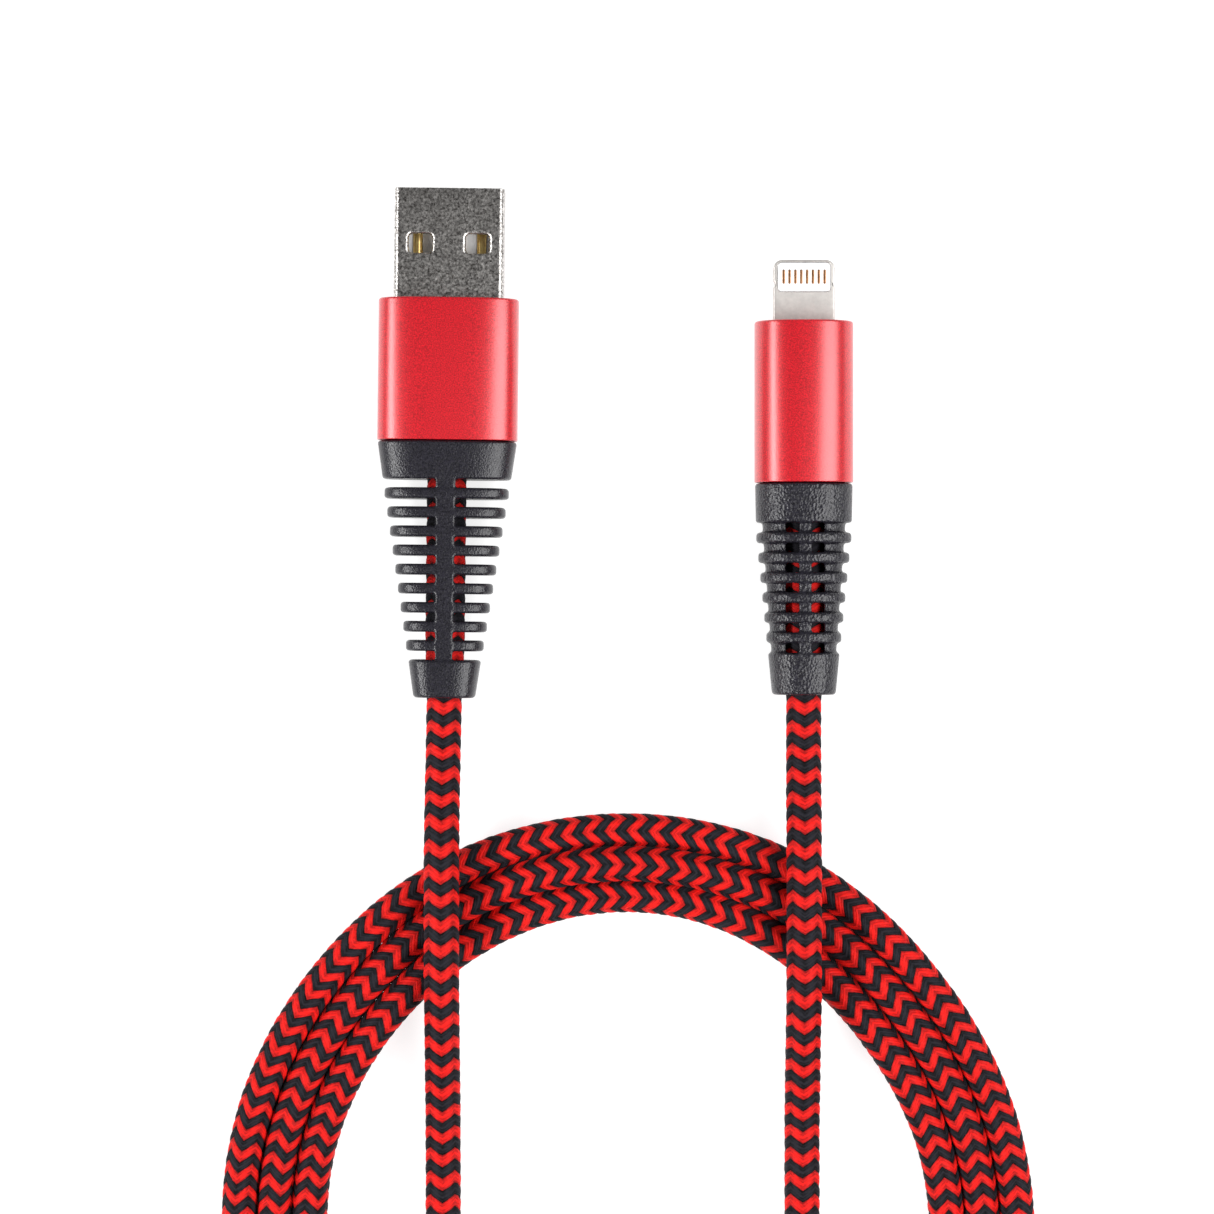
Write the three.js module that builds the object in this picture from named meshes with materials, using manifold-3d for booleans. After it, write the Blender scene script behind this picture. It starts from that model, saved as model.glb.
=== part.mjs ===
// A braided charging cable: a USB-A plug at one end and an eight-contact reversible phone plug at the other,
// lying on a flat surface with the middle of the cord wound into a round coil.
// Millimetres, +Z up, +Y towards the plugs' tips. The surface is z = 0, and the origin is under the middle
// of the two plugs.
import * as THREE from "three";
import { mergeVertices } from "three/addons/utils/BufferGeometryUtils.js";
import Module from "manifold-3d";

const wasm = await Module();
wasm.setup();

// ---------------------------------------------------------------- driving dimensions

const ARC_STEPS = 4; // straight steps in each rounded corner
const SECTION_POINTS = 24; // round a superellipse
const BORE_SIDES = 16;
const CUT_THROUGH = 1; // how far a cutting tool reaches past the face that it opens

// Clearances.
const FIT = 0.15; // round a piece that nests in another
const CONTACT_FIT = 0.05; // round a contact in its groove
const SEAM = 0.1; // between a housing and the strain relief behind it
const END_GAP = 0.3; // between a cord or wire end and what it meets

// Cord.
const CORD_DIAMETER = 4;
const CORD_BORE = CORD_DIAMETER + 2 * END_GAP;
const CORD_SIDES = 8;
const CORD_STEPS = { usbLead: 34, phoneLead: 40 };
const CORD_IN_MOULD = 2.2; // how far the cord reaches into the inner mould
const WIRE_DIAMETER = 0.8;
const WIRE_SIDES = 6;
const WIRE_STEPS = 6;
const WIRE_STRAIGHT = 0.25; // share of its length that a wire runs straight at each end
const WIRE_SPREAD = 0.75; // from the cord's axis to each wire, across and up, where the cord ends
const WIRES = [
  { colour: "red", material: "wireRed", side: 1, level: 1 },
  { colour: "white", material: "wireWhite", side: 1, level: -1 },
  { colour: "green", material: "wireGreen", side: -1, level: 1 },
  { colour: "black", material: "wireBlack", side: -1, level: -1 },
];

// Housings, strain reliefs and inner moulds. A size written as a wall or a rim is added on both sides.
const HOUSING_CHAMFER = 0.25;
const HOUSING_WALL = 0.9;
const HOUSING_FRONT_WALL = 0.8;
const RELIEF_INSET = 0.07; // of a strain relief's front face from its housing's outline
const RELIEF_CHAMFER = 0.2;
const SPIGOT_LENGTH = 2.2; // of a strain relief, inside its housing
const POCKET_WALL = { side: 1, top: 0.8 }; // of the USB plug's inner mould, round its pocket

// The size of a section whose walls stand round an opening, in X (width) and Z (thickness).
function walled(opening, { width, thickness }) {
  return { width: opening.width + 2 * width, thickness: opening.thickness + 2 * thickness };
}
const BORE = { width: CORD_BORE, thickness: CORD_BORE };

// USB-A plug.
const USB_SHELL = { width: 12, thickness: 4.5, wall: 0.3, corner: 0.6, exposed: 12, tail: 6.5 };
const USB_WINDOW = { width: 2.6, length: 2.1, offset: 3.12, fromTip: 6.07, corner: 0.45 };
const USB_TONGUE = { thickness: 1.84, fromTip: 0.5 };
const USB_CONTACT = { width: 1, thickness: 0.3, proud: 0.08, tail: 1.5 };
const USB_CONTACTS = [
  { name: "usb_contact_1_power", x: 3.5, fromTip: 1.4 },
  { name: "usb_contact_2_data_minus", x: 1, fromTip: 2.4 },
  { name: "usb_contact_3_data_plus", x: -1, fromTip: 2.4 },
  { name: "usb_contact_4_ground", x: -3.5, fromTip: 1.4 },
];
const USB_HOUSING = { ...walled(USB_SHELL, { width: 1.675, thickness: 1.6 }), length: 15.5 };
const USB_ROUNDNESS = 0.86; // corner radius over half the thickness
const USB_RELIEF = {
  collarRear: { width: 14.1, thickness: 7.1 },
  firstRib: { width: 13.6, thickness: 7 },
  lastRib: walled(BORE, { width: 1.95, thickness: 0.8 }),
  endFront: walled(BORE, { width: 1.65, thickness: 1 }),
  endRear: walled(BORE, { width: 1.1, thickness: 0.7 }),
  collarLength: 4.15,
  endLength: 4.15,
  ribs: 9,
  ribPitch: 2.08,
  ribThickness: 1.1,
  ribGap: 1,
  spineFront: 1.9,
  spineRear: 1.5,
};

// Phone plug.
const TAB = { width: 6.7, thickness: 1.5, exposed: 6.75, tail: 4, corner: 0.95, edge: 0.3 };
const TAB_WINDOW = { sideRim: 0.42, tipRim: 0.25, length: 3.25, corner: 0.5 };
const TAB_DETENT = { fromTip: 2.6, radius: 0.6, depth: 0.15, sides: 12 };
const TAB_INSULATOR_PROUD = 0.01;
const TAB_CONTACT = { count: 8, width: 0.32, length: 1.6, thickness: 0.15, fromTip: 1.05, proud: 0.03 };
const TAB_CONTACT_MARGIN = 0.53; // from the window's side to the first contact
const BOARD = { sideRim: 1.15, thickness: 0.6, inHousing: 10, inWindow: 1.9 };
const BOARD_PAD = { offset: 1.2, height: 0.45 }; // from the board's middle to each wire's end
const CHIP = { width: 2.6, length: 2.2, thickness: 0.75, behindTab: 1.6 };
const PHONE_HOUSING = { ...walled(TAB, { width: 2.05, thickness: 3.55 }), length: 17.6 };
const PHONE_ROUNDNESS = 2.4; // exponent of the superellipse section: 2 is an ellipse, more is squarer
const PHONE_RELIEF = {
  collarRear: { width: 10.5, thickness: 8.3 },
  firstRing: { width: 10.4, thickness: 8.2 },
  lastRing: walled(BORE, { width: 1.8, thickness: 1.4 }),
  coreFront: { width: 9.4, thickness: 7.4 },
  coreRear: walled(BORE, { width: 1.08, thickness: 0.8 }),
  endFront: walled(BORE, { width: 1.6, thickness: 1.25 }),
  endRear: walled(BORE, { width: 1.2, thickness: 1 }),
  collarLength: 4.3,
  endLength: 4.6,
  rings: 6,
  ringPitch: 2.18,
  ringThickness: 1.08,
  ringGap: 1.1,
  spine: 1.3,
  slotInset: 0.15, // of the slots beside the spine from the bore's sides
};

// Places. Each plug's own frame has its origin where the cord leaves the strain relief, +Y to the tip.
const USB_EXIT = { x: -18.724, y: -27.862 };
const USB_TURN = THREE.MathUtils.degToRad(-0.7);
const PHONE_EXIT = { x: 20.66, y: -27.515 };
const USB_AXIS_HEIGHT = USB_HOUSING.thickness / 2;
const PHONE_AXIS_HEIGHT = PHONE_HOUSING.thickness / 2;

// The coil: turns of the cord side by side, as one ring of their outer shape.
const COIL = { x: 1.47, y: -85.04, innerRadius: 33, turns: 3, corner: 1.2, segments: 64 };

// The cord's route where it isn't coiled: from each strain relief to the coil.
const USB_LEAD_ROUTE = [
  [-18.8, -32.5, 4.05],
  [-18.88, -38, 5.1],
  [-18.92, -43.5, 6.2],
  [-18.92, -50, 6.45],
  [-18.92, -56.5, 6.4],
  [-18.92, -63, 5.5],
  [-18.92, -69.5, 3.7],
  [-18.92, -76, 2.3],
  [-18.92, -82, 2.02],
  [-18.92, -88, 2],
  [-18.92, -94, 2],
  [-18.92, -99.7, 2],
  [-18.37, -103.84, 2],
  [-16.78, -107.7, 2],
  [-14.23, -111.01, 2],
];
const PHONE_LEAD_ROUTE = [
  [4.98, -127.75, 6.35],
  [9.4, -126.77, 6.4],
  [13.34, -124.73, 6.45],
  [16.61, -121.73, 6.45],
  [19, -117.98, 6.4],
  [20.33, -113.75, 6.3],
  [20.59, -109, 5.6],
  [20.59, -103, 4],
  [20.59, -97, 2.5],
  [20.59, -91, 2.02],
  [20.59, -85, 2],
  [20.59, -79, 2],
  [20.59, -73.5, 2.4],
  [20.59, -67.5, 4],
  [20.59, -61.5, 5.9],
  [20.59, -56, 6.4],
  [20.59, -50, 6.45],
  [20.59, -43.5, 6.25],
  [20.6, -38, 5.3],
  [20.63, -32.5, 4.5],
];

// ---------------------------------------------------------------- materials

const MATERIALS = {
  nickel: { color: 0x8a8784, roughness: 0.35, metalness: 1 },
  steel: { color: 0xb9b4ae, roughness: 0.35, metalness: 1 },
  gold: { color: 0xc9963a, roughness: 0.25, metalness: 1 },
  copper: { color: 0xb0794e, roughness: 0.3, metalness: 1 },
  anodised: { color: 0xd01828, roughness: 0.35, metalness: 0.9 },
  blackRubber: { color: 0x232326, roughness: 0.7, metalness: 0 },
  whitePlastic: { color: 0xf2f2f0, roughness: 0.5, metalness: 0 },
  board: { color: 0x1e6b3a, roughness: 0.5, metalness: 0 },
  chip: { color: 0x1a1a1c, roughness: 0.5, metalness: 0 },
  wireRed: { color: 0xc02020, roughness: 0.5, metalness: 0 },
  wireWhite: { color: 0xeeeeee, roughness: 0.5, metalness: 0 },
  wireGreen: { color: 0x1f8a3c, roughness: 0.5, metalness: 0 },
  wireBlack: { color: 0x1c1c1c, roughness: 0.5, metalness: 0 },
  braid: { color: 0xb01418, roughness: 0.85, metalness: 0 },
};

function mesh(name, geometry, material) {
  geometry.computeVertexNormals();
  const made = new THREE.Mesh(geometry, new THREE.MeshStandardMaterial(MATERIALS[material]));
  made.name = name;
  return made;
}

// ---------------------------------------------------------------- solids

function solidOf(geometry) {
  const bare = geometry.clone();
  bare.deleteAttribute("normal");
  bare.deleteAttribute("uv");
  const merged = mergeVertices(bare, 1e-4);
  const data = {
    numProp: 3,
    vertProperties: merged.attributes.position.array,
    triVerts: new Uint32Array(merged.index.array),
  };
  return new wasm.Manifold(new wasm.Mesh(data));
}

function geometryOf(solid) {
  const data = solid.getMesh();
  const geometry = new THREE.BufferGeometry();
  geometry.setAttribute("position", new THREE.BufferAttribute(data.vertProperties, 3));
  geometry.setIndex(new THREE.BufferAttribute(data.triVerts, 1));
  return geometry.toNonIndexed();
}

function joined(geometries) {
  return geometryOf(geometries.map(solidOf).reduce((whole, next) => whole.add(next)));
}

function cut(geometry, tools) {
  return geometryOf(tools.map(solidOf).reduce((whole, tool) => whole.subtract(tool), solidOf(geometry)));
}

// A box from its two corners' coordinates.
function boxBetween([x0, y0, z0], [x1, y1, z1]) {
  const box = new THREE.BoxGeometry(x1 - x0, y1 - y0, z1 - z0);
  return box.translate((x0 + x1) / 2, (y0 + y1) / 2, (z0 + z1) / 2);
}

// A rectangle with round corners, centred on the axis.
function roundedRectangle(width, height, corner) {
  const x = width / 2 - corner;
  const y = height / 2 - corner;
  const shape = new THREE.Shape();
  shape.absarc(x, y, corner, 0, Math.PI / 2);
  shape.absarc(-x, y, corner, Math.PI / 2, Math.PI);
  shape.absarc(-x, -y, corner, Math.PI, 1.5 * Math.PI);
  shape.absarc(x, -y, corner, 1.5 * Math.PI, 2 * Math.PI);
  return shape;
}

// A superellipse, centred on the axis.
function superellipse(width, height, exponent) {
  const power = (value) => Math.sign(value) * Math.abs(value) ** (2 / exponent);
  const outline = [];
  for (let i = 0; i < SECTION_POINTS; i += 1) {
    const angle = (2 * Math.PI * i) / SECTION_POINTS;
    const x = (width / 2) * power(Math.cos(angle));
    outline.push(new THREE.Vector2(x, (height / 2) * power(Math.sin(angle))));
  }
  return new THREE.Shape(outline);
}

// A section in X and Z, drawn out along Y between two places, with its end edges chamfered.
function alongY(section, yRear, yFront, chamfer = 0) {
  const options = {
    depth: yFront - yRear - 2 * chamfer,
    curveSegments: ARC_STEPS,
    bevelEnabled: chamfer > 0,
    bevelThickness: chamfer,
    bevelSize: chamfer,
    bevelOffset: -chamfer,
    bevelSegments: 1,
  };
  const drawn = new THREE.ExtrudeGeometry(section, options);
  return drawn.rotateX(Math.PI / 2).translate(0, yFront - chamfer, 0);
}

// An outline in X and Y, drawn out along Z, centred on the axis, with its edges chamfered.
function slab(outline, thickness, chamfer = 0) {
  const options = {
    depth: thickness - 2 * chamfer,
    curveSegments: ARC_STEPS,
    bevelEnabled: chamfer > 0,
    bevelThickness: chamfer,
    bevelSize: chamfer,
    bevelOffset: -chamfer,
    bevelSegments: 1,
  };
  return new THREE.ExtrudeGeometry(outline, options).translate(0, 0, chamfer - thickness / 2);
}

// Narrows a piece that reaches from yFront back to yRear, so that its rear end has the given size.
function taper(geometry, yFront, yRear, front, rear) {
  const place = geometry.attributes.position;
  for (let i = 0; i < place.count; i += 1) {
    const back = (yFront - place.getY(i)) / (yFront - yRear);
    place.setX(i, place.getX(i) * THREE.MathUtils.lerp(1, rear.width / front.width, back));
    place.setZ(i, place.getZ(i) * THREE.MathUtils.lerp(1, rear.thickness / front.thickness, back));
  }
  return geometry;
}

function sizeBetween(first, last, share) {
  return {
    width: THREE.MathUtils.lerp(first.width, last.width, share),
    thickness: THREE.MathUtils.lerp(first.thickness, last.thickness, share),
  };
}

// The cord's round bore along Y.
function boreAlongY(yRear, yFront) {
  const rod = new THREE.CylinderGeometry(CORD_BORE / 2, CORD_BORE / 2, yFront - yRear, BORE_SIDES);
  return rod.translate(0, (yRear + yFront) / 2, 0);
}

// A round tube along a smooth curve through the points.
function tubeAlong(points, diameter, sides, steps) {
  const path = new THREE.CatmullRomCurve3(points.map((point) => new THREE.Vector3(...point)));
  const section = new THREE.Shape();
  for (let i = 0; i < sides; i += 1) {
    const angle = (2 * Math.PI * (i + 0.5)) / sides;
    const corner = [(diameter / 2) * Math.cos(angle), (diameter / 2) * Math.sin(angle)];
    if (i === 0) section.moveTo(...corner);
    else section.lineTo(...corner);
  }
  return new THREE.ExtrudeGeometry(section, { steps, extrudePath: path, bevelEnabled: false });
}

// ---------------------------------------------------------------- strain reliefs

const usbReliefLength =
  USB_RELIEF.collarLength +
  USB_RELIEF.endLength +
  2 * USB_RELIEF.ribGap +
  (USB_RELIEF.ribs - 1) * USB_RELIEF.ribPitch +
  USB_RELIEF.ribThickness;
const phoneReliefLength =
  PHONE_RELIEF.collarLength +
  PHONE_RELIEF.endLength +
  2 * PHONE_RELIEF.ringGap +
  (PHONE_RELIEF.rings - 1) * PHONE_RELIEF.ringPitch +
  PHONE_RELIEF.ringThickness;

function usbSection({ width, thickness }) {
  return roundedRectangle(width, thickness, (USB_ROUNDNESS * thickness) / 2);
}

function phoneSection({ width, thickness }) {
  return superellipse(width, thickness, PHONE_ROUNDNESS);
}

// A section's size less an inset all round.
function inset({ width, thickness }, by) {
  return { width: width - 2 * by, thickness: thickness - 2 * by };
}

// A flat spine along the middle of the relief's top and bottom, which joins its ribs.
function usbSpines(yRear, yFront) {
  const { spineFront, spineRear, lastRib, firstRib } = USB_RELIEF;
  const front = { width: spineFront, thickness: firstRib.thickness };
  const rear = { width: spineRear, thickness: lastRib.thickness };
  const low = [-spineFront / 2, yRear, -firstRib.thickness / 2];
  const high = [spineFront / 2, yFront, firstRib.thickness / 2];
  return taper(boxBetween(low, high), yFront, yRear, front, rear);
}

function usbStrainRelief() {
  const relief = USB_RELIEF;
  const front = inset(USB_HOUSING, RELIEF_INSET);
  const collarRear = usbReliefLength - relief.collarLength;
  const collar = alongY(usbSection(front), collarRear, usbReliefLength, RELIEF_CHAMFER);
  const end = alongY(usbSection(relief.endFront), 0, relief.endLength, RELIEF_CHAMFER);
  const spigotSize = inset(USB_HOUSING, HOUSING_WALL + FIT);
  const spigot = alongY(usbSection(spigotSize), collarRear, usbReliefLength + SPIGOT_LENGTH);
  const pieces = [
    taper(collar, usbReliefLength, collarRear, front, relief.collarRear),
    taper(end, relief.endLength, 0, relief.endFront, relief.endRear),
    spigot,
    usbSpines(relief.endLength / 2, collarRear + relief.collarLength / 2),
  ];
  for (let i = 0; i < relief.ribs; i += 1) {
    const ribFront = collarRear - relief.ribGap - i * relief.ribPitch;
    const size = sizeBetween(relief.firstRib, relief.lastRib, i / (relief.ribs - 1));
    pieces.push(alongY(usbSection(size), ribFront - relief.ribThickness, ribFront));
  }
  const bore = boreAlongY(-CUT_THROUGH, usbReliefLength + SPIGOT_LENGTH + CUT_THROUGH);
  return cut(joined(pieces), [bore]);
}

// The two slots beside the spine, through the relief's core in each gap between its rings.
function phoneSlots(yRear, yFront) {
  const { spine, slotInset, firstRing } = PHONE_RELIEF;
  const reach = firstRing.thickness;
  return [-1, 1].map((side) => {
    const near = (side * spine) / 2;
    const far = side * (CORD_BORE / 2 - slotInset);
    return boxBetween([Math.min(near, far), yRear, -reach], [Math.max(near, far), yFront, reach]);
  });
}

function phoneStrainRelief() {
  const relief = PHONE_RELIEF;
  const front = inset(PHONE_HOUSING, RELIEF_INSET);
  const collarRear = phoneReliefLength - relief.collarLength;
  const collar = alongY(phoneSection(front), collarRear, phoneReliefLength, RELIEF_CHAMFER);
  const coreFront = collarRear + relief.collarLength / 2;
  const coreRear = relief.endLength / 2;
  const core = alongY(phoneSection(relief.coreFront), coreRear, coreFront);
  const end = alongY(phoneSection(relief.endFront), 0, relief.endLength, RELIEF_CHAMFER);
  const spigotSize = inset(PHONE_HOUSING, HOUSING_WALL + FIT);
  const spigot = alongY(phoneSection(spigotSize), collarRear, phoneReliefLength + SPIGOT_LENGTH);
  const pieces = [
    taper(collar, phoneReliefLength, collarRear, front, relief.collarRear),
    taper(core, coreFront, coreRear, relief.coreFront, relief.coreRear),
    taper(end, relief.endLength, 0, relief.endFront, relief.endRear),
    spigot,
  ];
  const slots = phoneSlots(collarRear - relief.ringGap, collarRear);
  for (let i = 0; i < relief.rings; i += 1) {
    const ringFront = collarRear - relief.ringGap - i * relief.ringPitch;
    const ringRear = ringFront - relief.ringThickness;
    const size = sizeBetween(relief.firstRing, relief.lastRing, i / (relief.rings - 1));
    pieces.push(alongY(phoneSection(size), ringRear, ringFront));
    const nextPiece = i < relief.rings - 1 ? ringFront - relief.ringPitch : relief.endLength;
    slots.push(...phoneSlots(nextPiece, ringRear));
  }
  const bore = boreAlongY(-CUT_THROUGH, phoneReliefLength + SPIGOT_LENGTH + CUT_THROUGH);
  return cut(joined(pieces), [bore, ...slots]);
}

// ---------------------------------------------------------------- USB-A plug

const usbHousingRear = usbReliefLength + SEAM;
const usbHousingFront = usbHousingRear + USB_HOUSING.length;
const usbTip = usbHousingFront + USB_SHELL.exposed;
const usbShellRear = usbHousingFront - USB_SHELL.tail;
const usbMouldRear = usbReliefLength + SPIGOT_LENGTH + FIT;
const usbCordEnd = usbMouldRear + CORD_IN_MOULD;
const usbInside = inset(USB_SHELL, USB_SHELL.wall);
const usbTongueBottom = FIT / 2 - usbInside.thickness / 2;
const usbTongueTop = usbTongueBottom + USB_TONGUE.thickness;

function usbMetalShell() {
  const outline = roundedRectangle(USB_SHELL.width, USB_SHELL.thickness, USB_SHELL.corner);
  const hole = roundedRectangle(usbInside.width, usbInside.thickness, USB_SHELL.corner - USB_SHELL.wall);
  const tools = [alongY(hole, usbShellRear - CUT_THROUGH, usbTip + CUT_THROUGH)];
  for (const side of [-1, 1]) {
    const outlineOfWindow = roundedRectangle(USB_WINDOW.width, USB_WINDOW.length, USB_WINDOW.corner);
    const window = slab(outlineOfWindow, 2 * USB_SHELL.thickness);
    tools.push(window.translate(side * USB_WINDOW.offset, usbTip - USB_WINDOW.fromTip, 0));
  }
  return cut(alongY(outline, usbShellRear, usbTip), tools);
}

// A contact's bar, grown by a clearance for its groove.
function usbContactBar({ x, fromTip }, clearance = 0) {
  const half = USB_CONTACT.width / 2 + clearance;
  const rear = usbShellRear - USB_CONTACT.tail - clearance;
  const top = usbTongueTop + USB_CONTACT.proud;
  const bottom = top - USB_CONTACT.thickness - clearance;
  return boxBetween([x - half, rear, bottom], [x + half, usbTip - fromTip + clearance, top + clearance]);
}

function usbInsulator() {
  const half = usbInside.width / 2 - FIT;
  const low = [-half, usbShellRear, usbTongueBottom];
  const tongue = boxBetween(low, [half, usbTip - USB_TONGUE.fromTip, usbTongueTop]);
  const block = boxBetween(low, [half, usbHousingFront, usbInside.thickness / 2 - FIT]);
  const grooves = USB_CONTACTS.map((contact) => usbContactBar(contact, CONTACT_FIT));
  return cut(joined([tongue, block]), grooves);
}

// A sleeve with an open rear and a front wall that an opening goes through.
function housing(section, outer, opening, rear, front) {
  const body = alongY(section(outer), rear, front, HOUSING_CHAMFER);
  const cavityFront = front - HOUSING_FRONT_WALL;
  const cavity = alongY(section(inset(outer, HOUSING_WALL)), rear - CUT_THROUGH, cavityFront);
  const half = { x: opening.width / 2 + FIT, z: opening.thickness / 2 + FIT };
  const low = [-half.x, cavityFront - CUT_THROUGH, -half.z];
  const mouth = boxBetween(low, [half.x, front + CUT_THROUGH, half.z]);
  return cut(body, [cavity, mouth]);
}

// The plastic block behind the shell. Its pocket holds the soldered wires, and the cord comes in at its rear.
function usbInnerMould() {
  const size = inset(USB_HOUSING, HOUSING_WALL + FIT);
  const front = usbShellRear - FIT;
  const body = alongY(usbSection(size), usbMouldRear, front);
  const half = { x: size.width / 2 - POCKET_WALL.side, z: size.thickness / 2 - POCKET_WALL.top };
  const floor = usbCordEnd - END_GAP;
  const pocket = boxBetween([-half.x, floor, -half.z], [half.x, front + CUT_THROUGH, half.z]);
  return cut(body, [pocket, boreAlongY(usbMouldRear - CUT_THROUGH, floor + CUT_THROUGH)]);
}

// A wire from the cord's end face to the place behind a contact's or a pad's end.
function wire(cordEnd, { side, level }, target) {
  const start = [side * WIRE_SPREAD, cordEnd + END_GAP, level * WIRE_SPREAD];
  const straight = WIRE_STRAIGHT * (target[1] - start[1]);
  const leave = [start[0], start[1] + straight, start[2]];
  const arrive = [target[0], target[1] - straight, target[2]];
  return tubeAlong([start, leave, arrive, target], WIRE_DIAMETER, WIRE_SIDES, WIRE_STEPS);
}

function usbPlug() {
  const plug = new THREE.Group();
  plug.add(mesh("usb_strain_relief", usbStrainRelief(), "blackRubber"));
  const sleeve = housing(usbSection, USB_HOUSING, USB_SHELL, usbHousingRear, usbHousingFront);
  plug.add(mesh("usb_housing", sleeve, "anodised"));
  plug.add(mesh("usb_metal_shell", usbMetalShell(), "nickel"));
  plug.add(mesh("usb_insulator", usbInsulator(), "whitePlastic"));
  plug.add(mesh("usb_inner_mould", usbInnerMould(), "whitePlastic"));
  USB_CONTACTS.forEach((contact, i) => {
    plug.add(mesh(contact.name, usbContactBar(contact), "gold"));
    const target = [contact.x, usbShellRear - USB_CONTACT.tail - END_GAP, usbTongueTop];
    const { colour, material } = WIRES[i];
    plug.add(mesh("usb_wire_" + colour, wire(usbCordEnd, WIRES[i], target), material));
  });
  plug.position.set(USB_EXIT.x, USB_EXIT.y, USB_AXIS_HEIGHT);
  plug.rotation.z = USB_TURN;
  return plug;
}

// ---------------------------------------------------------------- phone plug

const phoneHousingRear = phoneReliefLength + SEAM;
const phoneHousingFront = phoneHousingRear + PHONE_HOUSING.length;
const phoneTip = phoneHousingFront + TAB.exposed;
const tabRear = phoneHousingFront - TAB.tail;
const phoneMouldRear = phoneReliefLength + SPIGOT_LENGTH + FIT;
const phoneCordEnd = phoneMouldRear + CORD_IN_MOULD;
const tabWindowRear = phoneTip - TAB_WINDOW.tipRim - TAB_WINDOW.length;
const tabWindowWidth = TAB.width - 2 * TAB_WINDOW.sideRim;
const tabContactSpan = tabWindowWidth - 2 * TAB_CONTACT_MARGIN - TAB_CONTACT.width;
const tabContactPitch = tabContactSpan / (TAB_CONTACT.count - 1);
const boardRear = phoneHousingFront - BOARD.inHousing;
const boardWidth = TAB.width - 2 * BOARD.sideRim;

// The tab's outline from above: square at the rear, round at the tip's two corners.
function tabOutline() {
  const half = TAB.width / 2;
  const outline = new THREE.Shape();
  outline.moveTo(-half, tabRear);
  outline.lineTo(half, tabRear);
  outline.absarc(half - TAB.corner, phoneTip - TAB.corner, TAB.corner, 0, Math.PI / 2);
  outline.absarc(TAB.corner - half, phoneTip - TAB.corner, TAB.corner, Math.PI / 2, Math.PI);
  return outline;
}

// A prism through the tab's window, shrunk by a clearance for the insulator that fills it.
function windowPrism(thickness, clearance) {
  const width = tabWindowWidth - 2 * clearance;
  const length = TAB_WINDOW.length - 2 * clearance;
  const outline = roundedRectangle(width, length, TAB_WINDOW.corner - clearance);
  return slab(outline, thickness).translate(0, tabWindowRear + TAB_WINDOW.length / 2, 0);
}

function boardSlot(yRear, yFront) {
  const half = boardWidth / 2 + FIT;
  const rise = BOARD.thickness / 2 + CONTACT_FIT;
  return boxBetween([-half, yRear, -rise], [half, yFront, rise]);
}

function tabFrame() {
  const body = slab(tabOutline(), TAB.thickness, TAB.edge);
  const slot = boardSlot(tabRear - CUT_THROUGH, tabWindowRear + CUT_THROUGH);
  const tools = [windowPrism(2 * TAB.thickness, 0), slot];
  for (const side of [-1, 1]) {
    const x = side * (TAB.width / 2 + TAB_DETENT.radius - TAB_DETENT.depth);
    const { radius, sides, fromTip } = TAB_DETENT;
    const detent = new THREE.CylinderGeometry(radius, radius, 2 * TAB.thickness, sides);
    tools.push(detent.rotateX(Math.PI / 2).translate(x, phoneTip - fromTip, 0));
  }
  return cut(body, tools);
}

// A contact's bar on the tab's upper (side 1) or lower (side -1) face, grown by a clearance.
function tabContactBar(index, side, clearance = 0) {
  const x = (index - (TAB_CONTACT.count - 1) / 2) * tabContactPitch;
  const half = TAB_CONTACT.width / 2 + clearance;
  const outer = TAB.thickness / 2 + TAB_CONTACT.proud + clearance;
  const inner = TAB.thickness / 2 + TAB_CONTACT.proud - TAB_CONTACT.thickness - clearance;
  const front = phoneTip - TAB_CONTACT.fromTip;
  const heights = [side * inner, side * outer];
  return boxBetween(
    [x - half, front - TAB_CONTACT.length - clearance, Math.min(...heights)],
    [x + half, front + clearance, Math.max(...heights)],
  );
}

function tabInsulator() {
  const body = windowPrism(TAB.thickness + 2 * TAB_INSULATOR_PROUD, CONTACT_FIT);
  const tools = [boardSlot(tabWindowRear - CUT_THROUGH, tabWindowRear + BOARD.inWindow + FIT)];
  for (const side of [-1, 1]) {
    for (let i = 0; i < TAB_CONTACT.count; i += 1) tools.push(tabContactBar(i, side, CONTACT_FIT));
  }
  return cut(body, tools);
}

function circuitBoard() {
  const half = boardWidth / 2;
  const rise = BOARD.thickness / 2;
  return boxBetween([-half, boardRear, -rise], [half, tabWindowRear + BOARD.inWindow, rise]);
}

function controllerChip() {
  const front = tabRear - CHIP.behindTab;
  const foot = BOARD.thickness / 2 + CONTACT_FIT;
  const low = [-CHIP.width / 2, front - CHIP.length, foot];
  return boxBetween(low, [CHIP.width / 2, front, foot + CHIP.thickness]);
}

// The plastic block inside the housing. Its pocket holds the tab's tail, the board and the wires.
function phoneInnerMould() {
  const size = inset(PHONE_HOUSING, HOUSING_WALL + FIT);
  const front = phoneHousingFront - HOUSING_FRONT_WALL - FIT;
  const body = alongY(phoneSection(size), phoneMouldRear, front);
  const half = { x: TAB.width / 2 + FIT, z: BOARD.thickness / 2 + CHIP.thickness + 2 * FIT };
  const floor = phoneCordEnd - END_GAP;
  const pocket = boxBetween([-half.x, floor, -half.z], [half.x, front + CUT_THROUGH, half.z]);
  return cut(body, [pocket, boreAlongY(phoneMouldRear - CUT_THROUGH, floor + CUT_THROUGH)]);
}

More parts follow.
